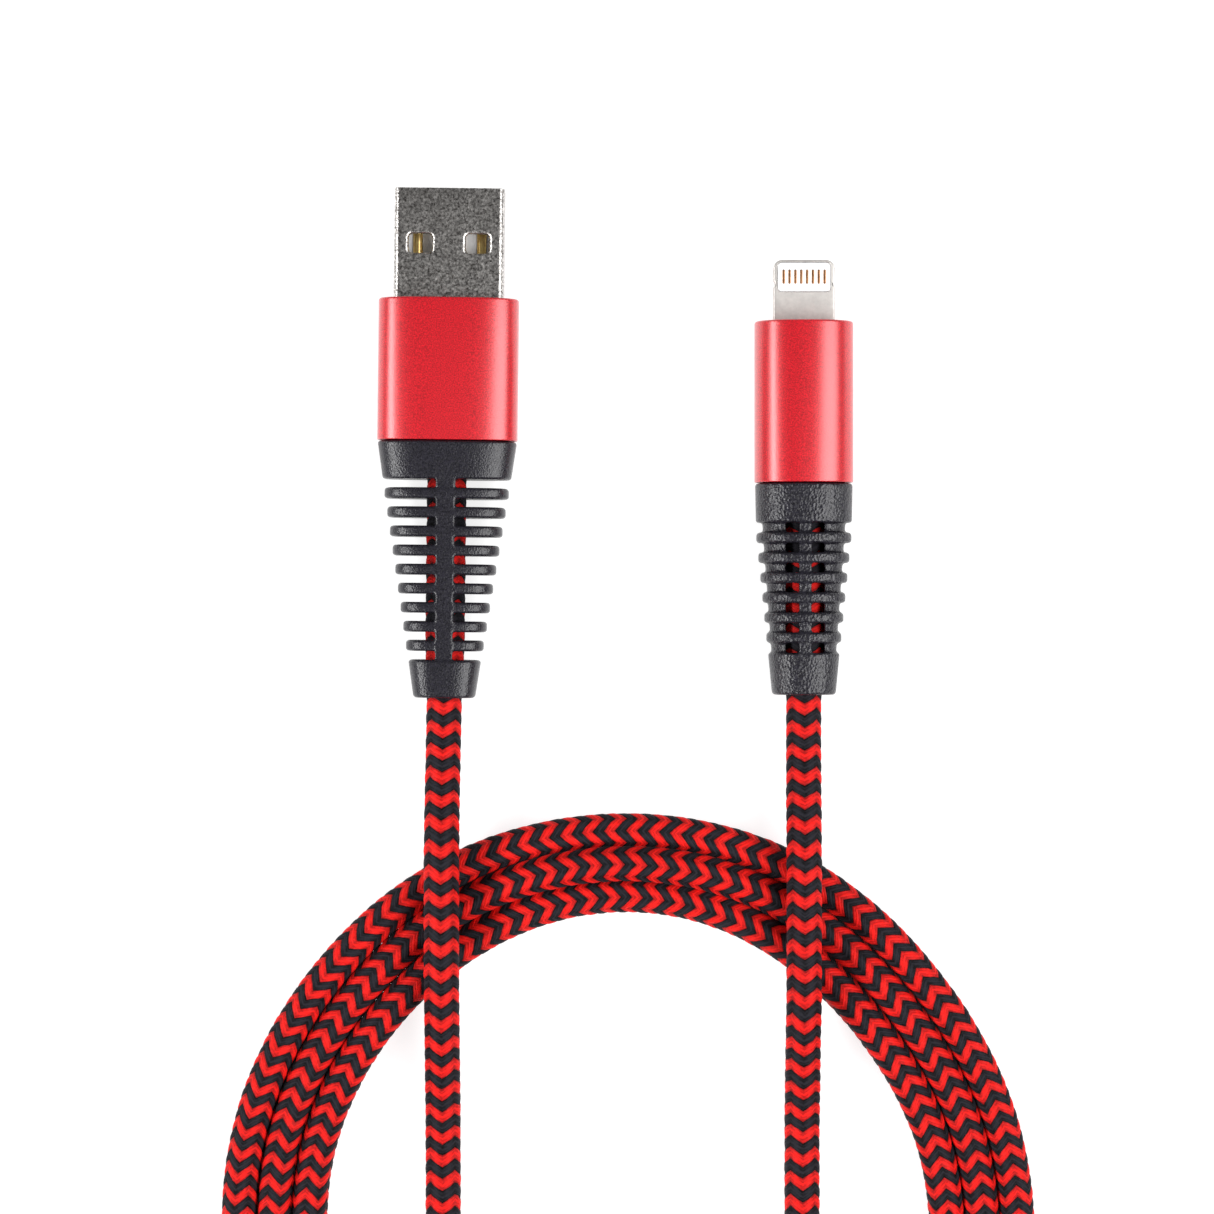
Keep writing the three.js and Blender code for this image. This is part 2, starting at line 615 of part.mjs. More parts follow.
function phonePlug() {
  const plug = new THREE.Group();
  plug.add(mesh("phone_strain_relief", phoneStrainRelief(), "blackRubber"));
  const sleeve = housing(phoneSection, PHONE_HOUSING, TAB, phoneHousingRear, phoneHousingFront);
  plug.add(mesh("phone_housing", sleeve, "anodised"));
  plug.add(mesh("phone_tab_frame", tabFrame(), "steel"));
  plug.add(mesh("phone_tab_insulator", tabInsulator(), "whitePlastic"));
  plug.add(mesh("phone_inner_mould", phoneInnerMould(), "whitePlastic"));
  plug.add(mesh("phone_circuit_board", circuitBoard(), "board"));
  plug.add(mesh("phone_controller_chip", controllerChip(), "chip"));
  for (let i = 0; i < TAB_CONTACT.count; i += 1) {
    plug.add(mesh("phone_contact_top_" + (i + 1), tabContactBar(i, 1), "copper"));
    plug.add(mesh("phone_contact_bottom_" + (i + 1), tabContactBar(i, -1), "copper"));
  }
  for (const one of WIRES) {
    const target = [one.side * BOARD_PAD.offset, boardRear - END_GAP, one.level * BOARD_PAD.height];
    plug.add(mesh("phone_wire_" + one.colour, wire(phoneCordEnd, one, target), one.material));
  }
  plug.position.set(PHONE_EXIT.x, PHONE_EXIT.y, PHONE_AXIS_HEIGHT);
  return plug;
}

// ---------------------------------------------------------------- cord

// The straight stretch inside a plug, from where the cord ends in its mould to where it leaves the relief.
function routeInside(exit, turn, height, cordEnd) {
  const shares = [1, 0.66, 0.33, 0.1, 0]; // of the way in
  return shares.map((share) => {
    const along = share * cordEnd;
    return [exit.x - along * Math.sin(turn), exit.y + along * Math.cos(turn), height];
  });
}

function usbLead() {
  const inside = routeInside(USB_EXIT, USB_TURN, USB_AXIS_HEIGHT, usbCordEnd);
  return tubeAlong([...inside, ...USB_LEAD_ROUTE], CORD_DIAMETER, CORD_SIDES, CORD_STEPS.usbLead);
}

function phoneLead() {
  const inside = routeInside(PHONE_EXIT, 0, PHONE_AXIS_HEIGHT, phoneCordEnd).reverse();
  return tubeAlong([...PHONE_LEAD_ROUTE, ...inside], CORD_DIAMETER, CORD_SIDES, CORD_STEPS.phoneLead);
}

// One ring of the outer shape of the coil's turns, which lie side by side.
function cordCoil() {
  const { innerRadius, turns, corner, segments, x, y } = COIL;
  const outerRadius = innerRadius + turns * CORD_DIAMETER;
  const height = CORD_DIAMETER;
  const profile = [];
  const corners = [
    [outerRadius - corner, corner, -90],
    [outerRadius - corner, height - corner, 0],
    [innerRadius + corner, height - corner, 90],
    [innerRadius + corner, corner, 180],
  ];
  for (const [radius, rise, from] of corners) {
    for (let i = 0; i <= 2; i += 1) {
      const angle = THREE.MathUtils.degToRad(from + 45 * i);
      profile.push(new THREE.Vector2(radius + corner * Math.cos(angle), rise + corner * Math.sin(angle)));
    }
  }
  profile.push(profile[0].clone());
  const ring = new THREE.LatheGeometry(profile, segments);
  return ring.rotateX(Math.PI / 2).translate(x, y, 0);
}

// ---------------------------------------------------------------- assembly

const cable = new THREE.Group();
cable.add(usbPlug());
cable.add(phonePlug());
cable.add(mesh("usb_lead", usbLead(), "braid"));
cable.add(mesh("phone_lead", phoneLead(), "braid"));
cable.add(mesh("cord_coil", cordCoil(), "braid"));

export default cable;
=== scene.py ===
"""A braided charging cable: a USB-A plug, an eight-contact phone plug, and the cord between them in a coil.

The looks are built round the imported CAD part, in its frame: metres, +Z up, +Y towards the plugs' tips.
Each plug's pieces are drawn in millimetres in the plug's own frame, whose origin is where the cord leaves
the strain relief, on the plug's axis, with +Y to the tip.
"""

import math

import bmesh
import bpy
import numpy as np
from mathutils import Matrix, Vector


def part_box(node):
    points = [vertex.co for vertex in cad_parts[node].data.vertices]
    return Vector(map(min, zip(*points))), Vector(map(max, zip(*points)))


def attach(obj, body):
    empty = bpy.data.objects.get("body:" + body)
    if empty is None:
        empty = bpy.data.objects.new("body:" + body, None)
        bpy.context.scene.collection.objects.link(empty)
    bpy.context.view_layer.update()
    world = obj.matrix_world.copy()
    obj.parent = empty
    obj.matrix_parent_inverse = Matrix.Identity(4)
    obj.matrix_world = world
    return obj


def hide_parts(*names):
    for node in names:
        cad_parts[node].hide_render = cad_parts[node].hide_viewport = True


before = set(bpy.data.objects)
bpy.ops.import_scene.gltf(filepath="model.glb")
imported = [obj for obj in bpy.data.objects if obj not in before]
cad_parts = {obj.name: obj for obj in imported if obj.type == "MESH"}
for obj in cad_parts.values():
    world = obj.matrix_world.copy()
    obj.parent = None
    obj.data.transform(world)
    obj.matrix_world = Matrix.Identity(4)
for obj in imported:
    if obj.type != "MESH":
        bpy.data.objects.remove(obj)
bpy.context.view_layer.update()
MM = 0.001

# ---------------------------------------------------------------- sizes, in millimetres

BORE_RADIUS = 2.3
WIDE_BORE_RADIUS = 2.55  # where the phone relief's braid bunches up

SEAM = 0.1
HOUSING_WALL = 0.9
HOUSING_FRONT_WALL = 0.8
HOUSING_FRONT_EDGE = 0.25
HOUSING_REAR_EDGE = 0.12
MOUTH_CORNER = 0.3
FIT = 0.15
SPIGOT = {"length": 2.2, "start": 0.5, "edge": 0.1}
COLLAR_STEP = 0.07  # how far a collar's front stands back from its housing's side
RIB_ALLOWANCE = 0.04  # each side of a rib is drawn this much further out, and smoothing takes it off again

USB_HOUSING = {"width": 15.35, "thickness": 7.7, "length": 15.5}
USB_ROUNDNESS = 3.2
USB_SHELL = {
    "width": 12,
    "thickness": 4.5,
    "wall": 0.3,
    "corner": 0.6,
    "exposed": 12,
    "tail": 6.5,
    "edge": 0.09,
}
USB_WINDOW = {"width": 2.6, "length": 2.1, "offset": 3.12, "from_tip": 6.07, "corner": 0.45}
USB_LIP = {"radius": 0.3, "depth": 0.6, "skirt": 0.8}  # the skirt is this share of the shell's wall
# A contact springs up from its groove by its crown, and its nose is given as (distance from the tip, drop)
# pairs. Its round top begins at the shoulder, a share of its height. Below that its sides cross, unseen.
USB_CONTACT = {"crown": 0.4, "shoulder": 0.4, "nose": ((0.8, 0), (0.25, 0.2), (0, 0.5))}
USB_RELIEF = {
    "collar_rear": (14.1, 7.1),
    "first_rib": (13.6, 7),
    "last_rib": (8.5, 6.2),
    "end_front": (7.9, 6.6),
    "end_rear": (6.8, 6),
    "collar_length": 4.15,
    "end_length": 4.15,
    "ribs": 9,
    "pitch": 2.08,
    "thickness": 1.1,
    "gap": 1,
    "rib_edge": 0.2,
    "spine_front": 2.15,
    "spine_rear": 1.8,
    "spine_drop": 0,
    "bore": BORE_RADIUS,
    "smoothing": 5,
}

PHONE_HOUSING = {"width": 10.8, "thickness": 8.6, "length": 17.6}
PHONE_ROUNDNESS = 2.4
PHONE_RELIEF = {
    "collar_rear": (10.5, 8.3),
    "first_rib": (10.4, 8.2),
    "last_rib": (8.2, 7.4),
    "end_front": (7.8, 7.1),
    "end_rear": (7, 6.6),
    "collar_length": 4.3,
    "end_length": 4.6,
    "ribs": 6,
    "pitch": 2.18,
    "thickness": 1.08,
    "gap": 1.1,
    "rib_edge": 0.22,
    "core_front": (9.4, 6.2),
    "core_rear": (6.76, 5.8),
    "spine_front": 1.3,
    "spine_rear": 1.3,
    "spine_drop": 0.3,
    "slot_end": 2.1,
    "bore": WIDE_BORE_RADIUS,
    "smoothing": 4,
}
COLLAR_EDGE = 0.18
END_EDGE = 0.2
CORE_EDGE = 0.1
RUBBER_VOXEL = 0.13
RUBBER_KEPT = 0.45  # the share of the remeshed rubber's triangles that is kept

TAB = {"width": 6.7, "thickness": 1.5, "exposed": 6.75, "tail": 4, "corner": 0.95, "edge": 0.16}
TAB_WINDOW = {"side_rim": 0.42, "tip_rim": 0.25, "length": 3.25, "corner": 0.5, "edge": 0.06}
TAB_WINDOW_SIDE = 0.6  # half the length of the window's side in which its points face the notch's
TAB_NOTCH = {"from_tip": 2.6, "radius": 0.6, "depth": 0.15, "reach": 1.2, "points": 13}
TAB_INSULATOR = {"play": 0.1, "proud": 0.01, "corner": 0.45}
PAD_PROFILE = ((0, 0.14), (0, 0.035), (0.02, 0.012), (0.06, 0))  # (inset, drop) from a pad's foot to its top
PAD_END_FLAT = 0.002  # what is left straight across a pad's round end
PAD_CORNER_STEPS = 8


def total_length(relief):
    ribs = (relief["ribs"] - 1) * relief["pitch"] + relief["thickness"]
    return relief["collar_length"] + relief["end_length"] + 2 * relief["gap"] + ribs


USB_RELIEF_LENGTH = total_length(USB_RELIEF)
PHONE_RELIEF_LENGTH = total_length(PHONE_RELIEF)
USB_FRONT = USB_RELIEF_LENGTH + SEAM + USB_HOUSING["length"]
USB_TIP = USB_FRONT + USB_SHELL["exposed"]
PHONE_FRONT = PHONE_RELIEF_LENGTH + SEAM + PHONE_HOUSING["length"]
PHONE_TIP = PHONE_FRONT + TAB["exposed"]


def plug_frame(housing, tip_piece, housing_length, relief_length):
    """The matrix from a plug's own frame to the row frame, from the middles of two CAD nodes on its axis."""
    middle, ahead = (sum(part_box(node), Vector()) / 2 for node in (housing, tip_piece))
    forward = (ahead - middle).normalized()
    origin = middle - forward * (housing_length / 2 + SEAM + relief_length) * MM
    turn = Matrix.Rotation(math.atan2(-forward.x, forward.y), 4, "Z")
    return Matrix.Translation(origin) @ turn @ Matrix.Scale(MM, 4)


USB = plug_frame("usb_housing", "usb_metal_shell", USB_HOUSING["length"], USB_RELIEF_LENGTH)
PHONE = plug_frame("phone_housing", "phone_tab_frame", PHONE_HOUSING["length"], PHONE_RELIEF_LENGTH)

# ---------------------------------------------------------------- camera

CAMERA_PLACE = (-0.89, -17.94, 395)
CAMERA_LENS = 105.8
CAMERA_SENSOR = 36
CAMERA_NEAR_CLIP = 10


def make_camera():
    """A camera that looks straight down."""
    data = bpy.data.cameras.new("camera")
    data.lens = CAMERA_LENS
    data.sensor_width = CAMERA_SENSOR
    data.clip_start = CAMERA_NEAR_CLIP * MM
    camera = bpy.data.objects.new("camera", data)
    camera.location = Vector(CAMERA_PLACE) * MM
    bpy.context.scene.collection.objects.link(camera)
    bpy.context.scene.camera = camera


# ---------------------------------------------------------------- materials

WAVE_TURNS = 20  # a wave texture of scale 1 turns by this many radians over one unit
GRAIN_LOW, GRAIN_HIGH = 0.3, 0.7  # the range in which most of a noise's values lie


class Look:
    """A Principled material, with small helpers for the nodes that give its surface detail."""

    def __init__(self, name, colour, roughness, metallic=0.0, **sockets):
        self.material = bpy.data.materials.new(name)
        self.material.use_nodes = True
        self.nodes = self.material.node_tree.nodes
        self.link = self.material.node_tree.links.new
        self.shader = self.nodes["Principled BSDF"]
        self.shader.inputs["Base Color"].default_value = (*colour, 1)
        self.shader.inputs["Roughness"].default_value = roughness
        self.shader.inputs["Metallic"].default_value = metallic
        for socket, value in sockets.items():
            self.shader.inputs[socket.replace("_", " ")].default_value = value
        self.colour = colour
        self.place = self.nodes.new("ShaderNodeTexCoord").outputs["Object"]

    def noise(self, size, detail=2.0, roughness=0.5, stretch=None):
        """Noise whose grains are about size millimetres across."""
        texture = self.nodes.new("ShaderNodeTexNoise")
        texture.inputs["Scale"].default_value = 1 / (size * MM)
        texture.inputs["Detail"].default_value = detail
        texture.inputs["Roughness"].default_value = roughness
        where = self.place
        if stretch:
            mapping = self.nodes.new("ShaderNodeMapping")
            mapping.inputs["Scale"].default_value = stretch
            self.link(where, mapping.inputs["Vector"])
            where = mapping.outputs["Vector"]
        self.link(where, texture.inputs["Vector"])
        return texture.outputs["Fac"]

    def pebbles(self, size):
        """Round hollows about size millimetres apart, as spark erosion leaves them."""
        texture = self.nodes.new("ShaderNodeTexVoronoi")
        texture.inputs["Scale"].default_value = 1 / (size * MM)
        self.link(self.place, texture.inputs["Vector"])
        return texture.outputs["Distance"]

    def waves(self, place, count, direction, distortion=0.0):
        """Even waves, so many to one unit of the place, that start low at zero."""
        texture = self.nodes.new("ShaderNodeTexWave")
        texture.bands_direction = direction
        texture.inputs["Scale"].default_value = count * math.tau / WAVE_TURNS
        texture.inputs["Distortion"].default_value = distortion
        texture.inputs["Detail Scale"].default_value = 1.5
        self.link(place, texture.inputs["Vector"])
        return texture.outputs["Fac"]

    def blend(self, first, second, share):
        """Two values as one, with the second one's share of it."""
        node = self.nodes.new("ShaderNodeMix")
        node.inputs[0].default_value = share
        self.link(first, node.inputs[2])
        self.link(second, node.inputs[3])
        return node.outputs[0]

    def shade(self, value, dark, light, start=GRAIN_LOW, end=GRAIN_HIGH):
        """Colours the surface from dark to light as the value goes from start to end."""
        ramp = self.nodes.new("ShaderNodeValToRGB")
        for element, position, colour in zip(ramp.color_ramp.elements, (start, end), (dark, light)):
            element.position = position
            element.color = (*colour, 1)
        self.link(value, ramp.inputs["Fac"])
        self.link(ramp.outputs["Color"], self.shader.inputs["Base Color"])

    def vary(self, value, amount):
        """Colours the surface a share of its colour darker and lighter by the value."""
        dark = [c * (1 - amount) for c in self.colour]
        light = [min(1, c * (1 + amount)) for c in self.colour]
        self.shade(value, dark, light)

    def rough(self, value, low, high):
        """Sets the roughness from low to high by the value."""
        node = self.nodes.new("ShaderNodeMapRange")
        numbers = {"From Min": GRAIN_LOW, "From Max": GRAIN_HIGH, "To Min": low, "To Max": high}
        for socket, number in numbers.items():
            node.inputs[socket].default_value = number
        self.link(value, node.inputs["Value"])
        self.link(node.outputs["Result"], self.shader.inputs["Roughness"])

    def bump(self, value, height, strength):
        """Raises the surface by up to height millimetres by the value. A second call adds to the first."""
        node = self.nodes.new("ShaderNodeBump")
        node.inputs["Strength"].default_value = strength
        node.inputs["Distance"].default_value = height * MM
        self.link(value, node.inputs["Height"])
        normal = self.shader.inputs["Normal"]
        if normal.links:
            self.link(normal.links[0].from_socket, node.inputs["Normal"])
        self.link(node.outputs["Normal"], normal)


def anodised():
    """Bead-blasted and dyed aluminium: a fine even grain under a hard clear surface."""
    look = Look(
        "red_anodised",
        (0.64, 0.004, 0.014),
        0.34,
        metallic=0.22,
        Coat_Weight=1.0,
        Coat_IOR=1.75,
        Coat_Roughness=0.30,
        Specular_IOR_Level=0.2,
    )
    look.vary(look.noise(0.14, detail=3), 0.45)
    look.rough(look.noise(0.5), 0.30, 0.40)
    look.bump(look.noise(0.18, detail=2), 0.016, 0.5)
    grain = look.shader.inputs["Normal"].links[0].from_socket
    look.link(grain, look.shader.inputs["Coat Normal"])
    return look.material


def plated():
    """Tumbled nickel plate: dark, with a bright grain all over."""
    look = Look("nickel_plate", (0.60, 0.58, 0.56), 0.27, metallic=1.0)
    grain = look.noise(0.26, detail=4, roughness=0.7)
    look.shade(grain, (0.12, 0.11, 0.104), (1.0, 0.965, 0.93), 0.36, 0.64)
    look.rough(look.noise(0.3), 0.26, 0.36)
    look.bump(look.noise(0.24, detail=2), 0.04, 0.8)
    return look.material


def satin_steel():
    look = Look("satin_steel", (0.72, 0.695, 0.665), 0.5, metallic=1.0)
    look.vary(look.noise(0.5, detail=4), 0.06)
    look.rough(look.noise(0.9), 0.5, 0.62)
    look.bump(look.noise(0.12, stretch=(1, 0.25, 1)), 0.006, 0.5)
    return look.material


def gold():
    look = Look("gold_plate", (1.0, 0.68, 0.27), 0.34, metallic=1.0)
    look.vary(look.noise(0.4), 0.12)
    look.rough(look.noise(0.15, stretch=(1, 0.1, 1)), 0.28, 0.44)
    look.bump(look.noise(0.1, stretch=(1, 0.1, 1)), 0.003, 0.4)
    return look.material


def worn_gold():
    look = Look("worn_gold_contact", (0.50, 0.26, 0.13), 0.34, metallic=1.0)
    look.vary(look.noise(0.25), 0.22)
    look.rough(look.noise(0.15), 0.26, 0.44)
    look.bump(look.noise(0.12, stretch=(1, 0.15, 1)), 0.004, 0.4)
    return look.material


def rubber(name, grain, height):
    """Moulded black rubber with the tool's spark-eroded grain."""
    look = Look(name, (0.013, 0.012, 0.018), 0.36, Specular_IOR_Level=0.6)
    look.vary(look.noise(grain, detail=3), 0.6)
    look.rough(look.noise(grain * 0.8, detail=3), 0.19, 0.42)
    look.bump(look.noise(grain, detail=3, roughness=0.6), height, 0.6)
    look.bump(look.pebbles(grain), height, 0.9)
    return look.material


def plastic(name, colour, roughness=0.38):
    """Moulded plastic: an even colour with a faint texture."""
    look = Look(name, colour, roughness)
    look.vary(look.noise(2.5), 0.03)
    look.rough(look.noise(0.6), roughness - 0.06, roughness + 0.08)
    look.bump(look.noise(0.3), 0.004, 0.4)
    return look.material


def yarn(name, dark, light, sheen, specular):
    """Braided nylon: filaments that run along each float, which the mesh's UVs follow. Each float also has
    painted shade towards its edges and a painted highlight across its middle.
    """
    look = Look(name, light, 0.6, Specular_IOR_Level=specular, Sheen_Weight=sheen, Sheen_Roughness=0.35)
    uv = look.nodes.new("ShaderNodeTexCoord").outputs["UV"]
    strands = look.waves(uv, 3, "X", distortion=4)
    # swell: painted shade towards each float's edges and a painted highlight across its middle, from the
    # float UVs
    swell = look.blend(look.waves(uv, 1, "X"), look.waves(uv, 1, "Y"), 0.4)
    tone = look.blend(look.noise(0.3, detail=3, roughness=0.6), swell, 0.5)
    look.shade(look.blend(tone, strands, 0.16), dark, light, 0.28, 0.66)
    look.rough(look.noise(0.4), 0.58, 0.76)
    look.bump(strands, 0.06, 0.5)
    look.bump(look.noise(0.14, detail=3), 0.03, 0.4)
    return look.material


def board():
    look = Look("circuit_board", (0.02, 0.16, 0.06), 0.42)
    look.vary(look.noise(0.8, detail=3), 0.2)
    look.rough(look.noise(0.5), 0.34, 0.5)
    look.bump(look.noise(0.2), 0.006, 0.4)
    return look.material


RED_ANODISED = anodised()
NICKEL = plated()
STEEL = satin_steel()
GOLD = gold()
WORN_GOLD = worn_gold()
SMOOTH_RUBBER = rubber("smooth_black_rubber", 0.2, 0.03)
GRAINY_RUBBER = rubber("grainy_black_rubber", 0.30, 0.075)
WHITE_PLASTIC = plastic("white_plastic", (0.93, 0.93, 0.94))
CHIP = plastic("black_epoxy", (0.02, 0.02, 0.022), 0.5)
BOARD = board()
RED_YARN = yarn("red_yarn", (0.26, 0.001, 0.001), (0.88, 0.010, 0.007), 0.04, 0.2)
BLACK_YARN = yarn("black_yarn", (0.001, 0.001, 0.001), (0.021, 0.020, 0.026), 0.03, 0.1)
WIRE_COLOURS = {
    "red": (0.55, 0.02, 0.02),
    "white": (0.8, 0.8, 0.8),
    "green": (0.02, 0.28, 0.06),
    "black": (0.02, 0.02, 0.02),
}
WIRES = {colour: plastic("wire_" + colour, rgb, 0.35) for colour, rgb in WIRE_COLOURS.items()}

# ---------------------------------------------------------------- mesh tools

QUARTER_STEPS = 24  # how many points a loop has to a quarter turn, where nothing else is asked for


def superellipse(width, height, exponent):
    """A loop of points, anticlockwise from the +x side."""
    points = []
    for i in range(4 * QUARTER_STEPS):
        angle = math.tau * (i + 0.5) / (4 * QUARTER_STEPS)
        c, s = math.cos(angle), math.sin(angle)
        x = math.copysign(abs(c) ** (2 / exponent), c) * width / 2
        points.append((x, math.copysign(abs(s) ** (2 / exponent), s) * height / 2))
    return points


def rounded(width, height, corner, steps=QUARTER_STEPS):
    """A rectangle with round corners, as a loop of 4 * steps points like superellipse()'s."""
    points = []
    for quarter, (across, along) in enumerate(((1, 1), (-1, 1), (-1, -1), (1, -1))):
        for i in range(steps):
            angle = quarter * math.pi / 2 + math.pi / 2 * i / (steps - 1)
            x = across * (width / 2 - corner) + corner * math.cos(angle)
            points.append((x, along * (height / 2 - corner) + corner * math.sin(angle)))
    return points


def along_y(loop, y):
    """A loop in X and Z at a place along the plug."""
    return [(a, y, b) for a, b in loop]


def level(loop, z, y=0.0, x=0.0):
    """A loop in X and Y at a height, centred on a place."""
    return [(x + a, y + b, z) for a, b in loop]


def skin(rings, closed=False):
    """The vertices and faces through rings of equal count: capped at both ends, or closed on themselves."""
    count = len(rings[0])
    vertices = [point for ring in rings for point in ring]
    faces = []
    for j in range(len(rings) if closed else len(rings) - 1):
        a, b = j * count, (j + 1) % len(rings) * count
        for i in range(count):
            k = (i + 1) % count
            faces.append((a + i, a + k, b + k, b + i))
    if not closed:
        faces.append(tuple(range(count)))
        faces.append(tuple(len(vertices) - 1 - i for i in range(count)))
    return vertices, faces


def box(low, high):
    corners = [(high[0], high[2]), (low[0], high[2]), (low[0], low[2]), (high[0], low[2])]
    return skin([along_y(corners, low[1]), along_y(corners, high[1])])


def joined(parts):
    """Several sets of vertices and faces as one."""
    vertices, faces = [], []
    for some_vertices, some_faces in parts:
        faces += [tuple(i + len(vertices) for i in face) for face in some_faces]
        vertices += some_vertices
    return vertices, faces


def linked(name, mesh):
    thing = bpy.data.objects.new(name, mesh)
    bpy.context.scene.collection.objects.link(thing)
    return thing


def solid(name, part):
    """A linked object of closed surfaces whose faces all point out."""
    vertices, faces = part
    mesh = bpy.data.meshes.new(name)
    mesh.from_pydata(vertices, [], faces)
    made = bmesh.new()
    made.from_mesh(mesh)
    bmesh.ops.recalc_face_normals(made, faces=made.faces)
    made.to_mesh(mesh)
    made.free()
    return linked(name, mesh)


def taken_apart(thing):
    """Removes an object, and gives its vertices and faces."""
    vertices = [tuple(vertex.co) for vertex in thing.data.vertices]
    faces = [tuple(face.vertices) for face in thing.data.polygons]
    bpy.data.objects.remove(thing)
    return vertices, faces


def apply_modifiers(thing):
    """Bakes an object's modifiers into its mesh."""
    graph = bpy.context.evaluated_depsgraph_get()
    mesh = bpy.data.meshes.new_from_object(thing.evaluated_get(graph))
    thing.modifiers.clear()
    thing.data = mesh


def cut(thing, part):
    """Cuts closed surfaces out of an object."""
    cutter = solid(thing.name + "_cutter", part)
    modifier = thing.modifiers.new("cut", "BOOLEAN")
    modifier.operation = "DIFFERENCE"
    modifier.solver = "EXACT"
    modifier.object = cutter
    apply_modifiers(thing)
    bpy.data.objects.remove(cutter)


def moulded(thing, smoothing):
    """Fuses an object's overlapping bodies into one with soft edges and fillets, as rubber is moulded."""
    remesh = thing.modifiers.new("fuse", "REMESH")
    remesh.mode = "VOXEL"
    remesh.voxel_size = RUBBER_VOXEL
    soften = thing.modifiers.new("soften", "SMOOTH")
    soften.factor = 0.5
    soften.iterations = smoothing
    thin = thing.modifiers.new("thin", "DECIMATE")
    thin.ratio = RUBBER_KEPT
    apply_modifiers(thing)


def place(thing, plug, material, slot, node, sharp=35):
    """Puts a piece drawn in a plug's frame into the row frame, in place of its CAD node."""
    thing.data.transform(plug)
    thing.data.materials.clear()
    thing.data.materials.append(material)
    thing.data.shade_smooth()
    thing.data.set_sharp_from_angle(angle=math.radians(sharp))
    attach(thing, "root")
    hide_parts(node)
    return thing


def mix(first, last, share):
    return [a + (b - a) * share for a, b in zip(first, last)]


def edge_arc(radius, steps=4):
    """Pairs of (inset, set back) round an edge, from the end face to the side."""
    turns = [math.pi / 2 * i / steps for i in range(steps + 1)]
    return [(radius * (1 - math.sin(t)), radius * (1 - math.cos(t))) for t in turns]


# ---------------------------------------------------------------- the cord's route

# The route where the cord isn't coiled, as the CAD part has it.
USB_LEAD_ROUTE = [
    (-18.8, -32.5, 4.05),
    (-18.88, -38, 5.1),
    (-18.92, -43.5, 6.2),
    (-18.92, -50, 6.45),
    (-18.92, -56.5, 6.4),
    (-18.92, -63, 5.5),
    (-18.92, -69.5, 3.7),
    (-18.92, -76, 2.3),
    (-18.92, -82, 2.02),
    (-18.92, -88, 2),
    (-18.92, -94, 2),
    (-18.92, -99.7, 2),
    (-18.37, -103.84, 2),
    (-16.78, -107.7, 2),
    (-14.23, -111.01, 2),
]
PHONE_LEAD_ROUTE = [
    (4.98, -127.75, 6.35),
    (9.4, -126.77, 6.4),
    (13.34, -124.73, 6.45),
    (16.61, -121.73, 6.45),
    (19, -117.98, 6.4),
    (20.33, -113.75, 6.3),
    (20.59, -109, 5.6),
    (20.59, -103, 4),
    (20.59, -97, 2.5),
    (20.59, -91, 2.02),
    (20.59, -85, 2),
    (20.59, -79, 2),
    (20.59, -73.5, 2.4),
    (20.59, -67.5, 4),
    (20.59, -61.5, 5.9),
    (20.59, -56, 6.4),
    (20.59, -50, 6.45),
    (20.59, -43.5, 6.25),
    (20.6, -38, 5.3),
    (20.63, -32.5, 4.5),
]
# How far inside each plug the cord is drawn, from where it leaves the strain relief.
INSIDE_USB = (28.5, 20, 12, 6, 2, 0)
INSIDE_PHONE = (0, 2, 6, 12, 20, 27.6)

# The coil's turns, in degrees anticlockwise from +X as the cord is followed from the USB plug.
COIL_CENTRE = (1.47, -85.04)
COIL_START, COIL_END, COIL_STEP = -112, 986, 9
COIL_JOIN = {"from": -121.2, "to": -70, "radius": 30.35, "ease": 1.4}  # where the USB lead swings out into it
COIL_RADIUS = 35.15
COIL_PITCH = 3.85
COIL_SHIFTS = ((235, 295), (595, 655))  # where a turn moves out by one pitch
COIL_DENTS = ((38, 28, 1.2), (140, 25, 0.45))  # where all turns lie closer in: (angle, spread, depth)
COIL_RISE = ((935, 2), (945, 2.25), (955, 2.9), (965, 3.9), (975, 4.9), (985, 5.7))  # its last stretch
# At the top of the picture the middle turn rides up a little between the other two, which close in on it.
COIL_CREST = {"at": 90, "spread": 40, "rise": 1.4, "squeeze": 0.35}
MIDDLE_TURN = 1


def ease(share):
    share = min(1, max(0, share))
    return share * share * (3 - 2 * share)


def coil_radius(angle):
    if angle < COIL_JOIN["to"]:
        share = (angle - COIL_JOIN["from"]) / (COIL_JOIN["to"] - COIL_JOIN["from"])
        out = 1 - (1 - share) ** COIL_JOIN["ease"]
        radius = COIL_JOIN["radius"] + (COIL_RADIUS - COIL_JOIN["radius"]) * out
    else:
        radius = COIL_RADIUS + COIL_PITCH * sum(ease((angle - a) / (b - a)) for a, b in COIL_SHIFTS)
    dents = (depth * math.exp(-(((angle % 360 - at) / spread) ** 2)) for at, spread, depth in COIL_DENTS)
    return radius - sum(dents)


def coil_point(angle):
    """The cord's middle at an angle along the coil."""
    radius = coil_radius(angle)
    height = np.interp(angle, *zip(*COIL_RISE))
    off = abs(angle % 360 - COIL_CREST["at"]) / COIL_CREST["spread"]
    crest = math.cos(off * math.pi / 2) ** 2 if off < 1 else 0
    turn = int((angle + 90) // 360)
    if turn == MIDDLE_TURN:
        height += COIL_CREST["rise"] * crest
    else:
        radius += COIL_CREST["squeeze"] * crest * (MIDDLE_TURN - turn)
    around = math.radians(angle)
    x = COIL_CENTRE[0] + radius * math.cos(around)
    return (x, COIL_CENTRE[1] + radius * math.sin(around), height)


def inside(plug, depths):
    return [tuple(plug @ Vector((0, depth, 0)) / MM) for depth in depths]


